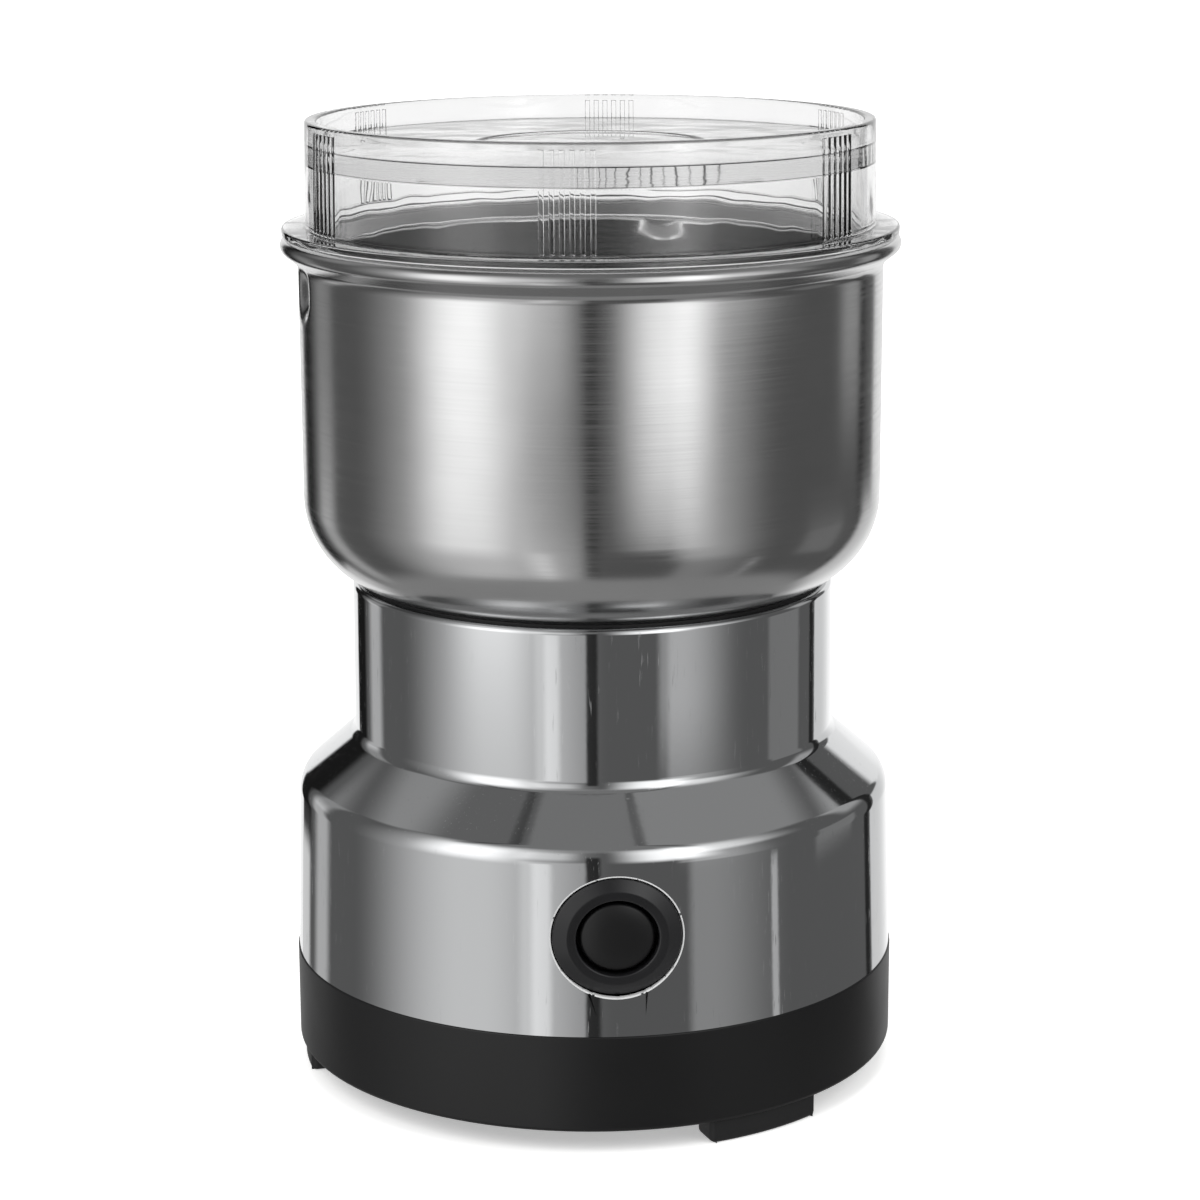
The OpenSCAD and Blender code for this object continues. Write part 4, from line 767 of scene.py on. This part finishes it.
def makeBlade(name, node, bend, angle, height):
    b = blades
    half, flat, ease = b["span"] / 2, b["flat"], b["ease"]
    isAt = lambda v, x: abs(v.co.x - x * mm) < 0.01 * mm
    bpy.ops.object.select_all(action="DESELECT")
    bpy.ops.mesh.primitive_cube_add(size=mm)
    piece = bpy.context.object
    piece.name = piece.data.name = name
    bpy.ops.object.mode_set(mode="EDIT")
    bpy.ops.transform.resize(value=(b["span"], b["width"], b["thickness"]), center_override=(0, 0, 0))
    for x in (-b["tip"], -flat - ease, -flat + ease, flat - ease, flat + ease, b["tip"]):
        bpy.ops.mesh.select_all(action="SELECT")
        bpy.ops.mesh.bisect(plane_co=(x * mm, 0, 0), plane_no=(1, 0, 0))
    # the outer parts are bent, and the leading corners of the tips cut off
    for side in (-1, 1):
        for x in (b["tip"], half):
            pick(piece, "verts", lambda v: isAt(v, side * x))
            bpy.ops.transform.translate(value=(0, 0, bend * (x - flat) / (half - flat) * mm))
        pick(piece, "verts", lambda v: isAt(v, side * (flat + ease)))
        bpy.ops.transform.translate(value=(0, 0, bend * b["easeLift"] * mm))
        pick(piece, "verts", lambda v: isAt(v, side * half) and v.co.y * side > 0)
        bpy.ops.transform.translate(value=(0, -side * b["width"] * b["tipCut"] * mm, 0))
        pick(piece, "verts", lambda v: isAt(v, side * half) and v.co.y * side < 0)
        bpy.ops.transform.translate(value=(0, side * b["heelCut"] * mm, 0))
    # the long edges are ground to a bevel
    pick(piece, "edges", lambda e: abs(e.verts[0].co.x - e.verts[1].co.x) > 1 * mm and e.is_manifold
         and e.calc_face_angle(0) > math.radians(60))
    bpy.ops.mesh.bevel(offset=b["edge"] * mm, segments=2, affect="EDGES")
    closeMesh(piece, 30)
    cutAway(piece, addCylinder(b["bore"], 20))
    placePiece(piece, (0, 0, height + b["thickness"] / 2), (0, 0, angle))
    finishPiece(piece, bladeSteel, "rotor", "blade_steel", node)


makeBlade("lower_blade", "blade_lower", -blades["bend"], **blades["lower"])
makeBlade("upper_blade", "blade_upper", blades["bend"], **blades["upper"])

hub = {"radius": 6.5, "skirt": 8.5, "skirtHeight": 3, "low": 88.0, "high": 92.5,
       "shaft": 3.02, "thread": 2.52, "step": 92.0}


def makeHub():
    h = hub
    skirtTop = h["low"] + h["skirtHeight"]
    outline = [(h["shaft"], h["low"]), (h["skirt"], h["low"], 0.4, 3), (h["skirt"], skirtTop, 0.8, 4),
               (h["radius"], skirtTop, 0.5, 3), (h["radius"], h["high"], 0.3, 2),
               (h["thread"], h["high"]), (h["thread"], h["step"]), (h["shaft"], h["step"])]
    piece = drawOutline("blade_hub_collar", outline)
    turnOutline(piece, ((96, 360),))
    finishPiece(piece, finishes["inner_plastic"], "rotor", "inner_plastic", "blade_hub")


makeHub()

nut = {"radius": 4.6, "low": 95.9, "height": 4.0, "bore": 2.52, "faceInset": 0.55, "chamfer": 0.5}


def makeNut():
    n, half = nut, nut["height"] / 2
    bpy.ops.object.select_all(action="DESELECT")
    piece = addCylinder(n["radius"], n["height"], vertices=6)
    piece.name = piece.data.name = "blade_lock_nut"
    # a cone laid over the corners chamfers them, as on a turned hexagon
    face, corner = n["radius"] - n["faceInset"], n["radius"] + 0.1
    cone = drawOutline("corners", [(0, -half), (face, -half), (corner, -half + n["chamfer"]),
                                   (corner, half - n["chamfer"]), (face, half), (0, half)], closed=False)
    turnOutline(cone, ((96, 360),))
    cutAway(piece, cone, "INTERSECT")
    cutAway(piece, addCylinder(n["bore"], 20, vertices=64))
    edit(piece)
    closeMesh(piece, 20)
    placePiece(piece, (0, 0, n["low"] + half))
    finishPiece(piece, finishes["zinc_steel"], "rotor", "zinc_steel", "blade_nut")


makeNut()
print("pieces made")


# Camera at the photograph's place

# place in metres; heading in degrees; down, the tilt, and roll in radians; lens in millimetres
camera = {"place": (-0.0396, -0.5391, 0.20994), "heading": 4.2, "down": 0.234, "roll": 0.0051,
          "lens": 95.97, "shift": 0.0064}


def makeCamera():
    c = camera
    heading, down = math.radians(c["heading"]), c["down"]
    forward = Vector((math.sin(heading) * math.cos(down), math.cos(heading) * math.cos(down), -math.sin(down)))
    right = Vector((math.cos(heading), -math.sin(heading), 0))
    up = right.cross(forward)
    tilted = right * math.cos(c["roll"]) - up * math.sin(c["roll"])
    upright = up * math.cos(c["roll"]) + right * math.sin(c["roll"])
    data = bpy.data.cameras.new("camera")
    data.lens, data.sensor_width, data.shift_x = c["lens"], 36, c["shift"]
    data.clip_start, data.clip_end = 0.01, 50
    eye = bpy.data.objects.new("camera", data)
    bpy.context.scene.collection.objects.link(eye)
    turn = Matrix((tilted, upright, -forward)).transposed().to_4x4()
    eye.matrix_world = Matrix.Translation(c["place"]) @ turn
    bpy.context.scene.camera = eye


makeCamera()


# Floor, lamps and the studio that the metal mirrors

# distances in metres; glow is what the camera sees added, near the grinder and far from it
paper = {"size": 30, "tints": ("#f3f3f2", "#f8f8f7"), "near": 0.06, "far": 0.5, "glow": (0.4, 1.0)}


def makeFloor():
    bpy.ops.object.select_all(action="DESELECT")
    bpy.ops.mesh.primitive_plane_add(size=paper["size"])
    floor = bpy.context.object
    floor.name = "floor"
    # Uncoated paper: matt, white, hardly any grain
    material, tree, shader, place = startMaterial("pale_paper_floor", Roughness=0.9,
                                                  Specular_IOR_Level=0.0)
    grain = addNode(tree, "TexNoise", {"Vector": place, "Scale": 800.0, "Detail": 2})
    tree.links.new(twoColours(tree, grain.outputs["Fac"], *paper["tints"]), shader.inputs["Base Color"])
    # the camera sees the paper a little lighter, and more so far off, so it is white but for the shadow
    seen = addNode(tree, "LightPath").outputs["Is Camera Ray"]
    reach = addNode(tree, "VectorMath", {0: place}, operation="LENGTH").outputs["Value"]
    glow = addNode(tree, "MapRange", {0: reach, 1: paper["near"], 2: paper["far"],
                                      3: paper["glow"][0], 4: paper["glow"][1]})
    strength = addNode(tree, "Math", {0: seen, 1: glow}, operation="MULTIPLY")
    lift = addNode(tree, "Emission", {"Color": (1, 1, 1, 1), "Strength": strength})
    both = addNode(tree, "AddShader", {0: shader, 1: lift})
    tree.links.new(both.outputs[0], tree.nodes["Material Output"].inputs["Surface"])
    floor.data.materials.append(material)
    floor.visible_glossy = floor.visible_transmission = False


makeFloor()

lamps = {
    "key": {"place": (-0.7, -0.8, 1.1), "size": 0.9, "watts": 9},
    "fill": {"place": (0.9, -0.5, 0.8), "size": 0.9, "watts": 5},
    "top": {"place": (0.1, 0.5, 1.3), "size": 1.0, "watts": 6},
}
lampAim = Vector((0, 0, 0.08))


def makeLamps():
    for name, lamp in lamps.items():
        data = bpy.data.lights.new(name, "AREA")
        data.size, data.energy = lamp["size"], lamp["watts"]
        light = bpy.data.objects.new(name, data)
        bpy.context.scene.collection.objects.link(light)
        light.location = lamp["place"]
        light.rotation_euler = (lampAim - light.location).to_track_quat("-Z", "Y").to_euler()
        light.visible_glossy = light.visible_transmission = light.visible_camera = False


makeLamps()

# Light tent that only mirrored rays see. base and strength are the cloth's own light, below is its level
# far down, aboveLid the least that a ray inside the clear lid meets; lengths in millimetres
tent = {"radius": 200, "low": -400, "high": 900, "base": 0.08, "strength": 1.6, "aboveLid": 0.5,
        "below": 0.22, "belowFrom": -45, "belowFull": -110}

# Each window in the tent is (azimuth, height, level). Azimuth is in degrees from the camera's side and grows
# to the right, height is from the floor, and each is (start, end, soft edge before, soft edge after)
tentLights = {
    "left panel, lower": ((-44, -38, 50, 45), (-400, 180, 1, 150), 0.42),
    "left panel, upper": ((-47, -42, 23, 24), (115, 150, 110, 110), 0.62),
    "left panel, top corner": ((-22, -12, 8, 10), (125, 165, 50, 60), 0.25),
    "left panel, inner edge": ((-22, -3, 4, 1.5), (-400, 60, 1, 30), 0.14),
    "bright seam in it": ((-18.5, -15.5, 3.5, 3), (-400, 45, 1, 15), 0.2),
    "right panel, lower": ((34, 38, 4, 34), (-400, 180, 1, 150), 0.13),
    "right panel, middle": ((30, 36, 4, 30), (35, 200, 30, 150), 0.16),
    "right panel, upper": ((24, 27, 21, 20), (100, 170, 52, 110), 0.9),
    "right panel, far side": ((34, 50, 12, 34), (140, 170, 35, 90), 0.4),
    "thin seam": ((63, 64.5, 1.2, 1.2), (-400, 2, 1, 8), 0.25),
    "overhead": ((-54, 104, 3, 20), (240, 900, 60, 1), 0.07),
    "overhead, left": ((-100, -60, 14, 3), (240, 900, 60, 1), 0.025),
    "overhead, right": ((44, 100, 3, 20), (250, 900, 60, 1), 0.05),
    "overhead, left end": ((-112, -98, 14, 16), (230, 420, 60, 60), 0.12),
    "right panel's turned side": ((85, 104, 3, 3), (5, 60, 8, 10), 0.07),
    "rear corner": ((106, 114, 8, 5), (110, 160, 40, 40), 0.2),
    "backdrop, right": ((122, 215, 3, 1), (-400, 60, 1, 12), 0.42),
    "backdrop, right, higher up": ((135, 215, 4, 1), (72, 900, 12, 1), 0.55),
    "backdrop, far right": ((150, 215, 20, 1), (-400, 60, 1, 12), 0.2),
    "backdrop, left": ((-215, -144, 1, 3), (-400, 900, 1, 1), 0.58),
    "backdrop, left, low down": ((-141, -133, 2, 5), (-400, -10, 1, 10), 0.38),
    "rear strip": ((-119, -114, 7, 6), (-400, 40, 1, 60), 0.27),
    "rear strip, upper": ((-119, -112, 7, 6), (60, 120, 20, 60), 0.14),
}

# what takes that share of the light away again
tentDark = {
    "frame of the overhead opening": ((38, 43, 3, 3), (250, 900, 60, 1), 0.4),
    "its left side": ((-60, -54, 2, 5), (250, 900, 60, 1), 0.4),
    "opening for the lens": ((-2, 1, 1.5, 2), (-400, 115, 1, 40), 0.8),
    "right edge of the backdrop": ((117, 121, 2, 1.5), (-400, 900, 1, 1), 0.8),
    "left edge of the backdrop": ((-141, -131, 2, 5), (-8, 900, 8, 1), 0.9),
}


def makeTent():
    t = tent
    bpy.ops.object.select_all(action="DESELECT")
    cloth = addCylinder(t["radius"], t["high"] - t["low"], (0, 0, (t["high"] + t["low"]) / 2 * mm),
                        vertices=256)
    bpy.ops.object.transform_apply(location=True)
    cloth.name = "light_tent"
    material, tree, shader, place = startMaterial("lit_tent_cloth")
    split = addNode(tree, "SeparateXYZ", {0: place})
    x, y, z = split.outputs
    front = addNode(tree, "Math", {0: y, 1: -1.0}, operation="MULTIPLY")
    turn = addNode(tree, "Math", {0: x, 1: front}, operation="ARCTAN2")
    degrees = addNode(tree, "Math", {0: turn, 1: math.degrees(1)}, operation="MULTIPLY")
    azimuth = addNode(tree, "Math", {0: degrees, 1: camera["heading"]}, operation="ADD")
    height = addNode(tree, "Math", {0: z, 1: 1 / mm}, operation="MULTIPLY")

    def softBand(value, start, end, softBefore, softAfter):
        rise = addNode(tree, "MapRange", {0: value, 1: start - softBefore, 2: start},
                       interpolation_type="SMOOTHSTEP")
        fall = addNode(tree, "MapRange", {0: value, 1: end, 2: end + softAfter, 3: 1.0, 4: 0.0},
                       interpolation_type="SMOOTHSTEP")
        return addNode(tree, "Math", {0: rise, 1: fall}, operation="MULTIPLY")

    def window(azimuths, heights, level):
        both = addNode(tree, "Math", {0: softBand(azimuth, *azimuths), 1: softBand(height, *heights)},
                       operation="MULTIPLY")
        return addNode(tree, "Math", {0: both, 1: level}, operation="MULTIPLY")

    total = t["base"]
    for part in tentLights.values():
        total = addNode(tree, "Math", {0: total, 1: window(*part)}, operation="ADD")
    for part in tentDark.values():
        left = addNode(tree, "Math", {0: 1.0, 1: window(*part)}, operation="SUBTRACT")
        total = addNode(tree, "Math", {0: total, 1: left}, operation="MULTIPLY")
    # far down, where only the bowl's lower curve looks, the cloth is plain
    upward = addNode(tree, "MapRange", {0: height, 1: t["belowFull"], 2: t["belowFrom"]},
                     interpolation_type="SMOOTHSTEP")
    total = addNode(tree, "Mix", {0: upward, 2: t["below"], 3: total})
    # what the lid's own edges mirror is never darker than pale cloth
    path = addNode(tree, "LightPath")
    inLid = addNode(tree, "Math", {0: path.outputs["Transmission Depth"], 1: 0.5}, operation="GREATER_THAN")
    least = addNode(tree, "Math", {0: inLid, 1: t["aboveLid"]}, operation="MULTIPLY")
    total = addNode(tree, "Math", {0: total, 1: least}, operation="MAXIMUM")
    strength = addNode(tree, "Math", {0: total, 1: t["strength"]}, operation="MULTIPLY")
    lit = addNode(tree, "Emission", {"Color": (1, 1, 1, 1), "Strength": strength})
    # only light that something has mirrored meets the cloth, the rest goes on to the white surroundings
    mirrored = addNode(tree, "Math", {0: path.outputs["Glossy Depth"], 1: 0.5}, operation="GREATER_THAN")
    through = addNode(tree, "BsdfTransparent")
    both = addNode(tree, "MixShader", {0: mirrored, 1: through, 2: lit})
    tree.links.new(both.outputs[0], tree.nodes["Material Output"].inputs["Surface"])
    material.cycles.emission_sampling = "NONE"
    cloth.data.materials.append(material)
    cloth.visible_camera = cloth.visible_diffuse = cloth.visible_shadow = False
    cloth.visible_volume_scatter = False


makeTent()

plainLight = 0.72  # strength of the white that lights all but what the camera sees straight


def makeWorld():
    # white for the camera and through the clear lid, a plain even light on everything else
    world = bpy.data.worlds.new("studio")
    bpy.context.scene.world = world
    world.use_nodes = True
    tree = world.node_tree
    path = addNode(tree, "LightPath")
    straight = addNode(tree, "Math", {0: path.outputs["Is Camera Ray"],
                                      1: path.outputs["Is Transmission Ray"]}, operation="MAXIMUM")
    strength = addNode(tree, "Mix", {0: straight, 2: plainLight, 3: 1.0})
    background = tree.nodes["Background"]
    tree.links.new(strength.outputs[0], background.inputs["Strength"])
    background.inputs["Color"].default_value = (1, 1, 1, 1)
    world.cycles.sampling_method = "NONE"  # each kind of ray sees its own light


makeWorld()
bpy.context.scene.view_settings.view_transform = "Standard"

print("scene ready")
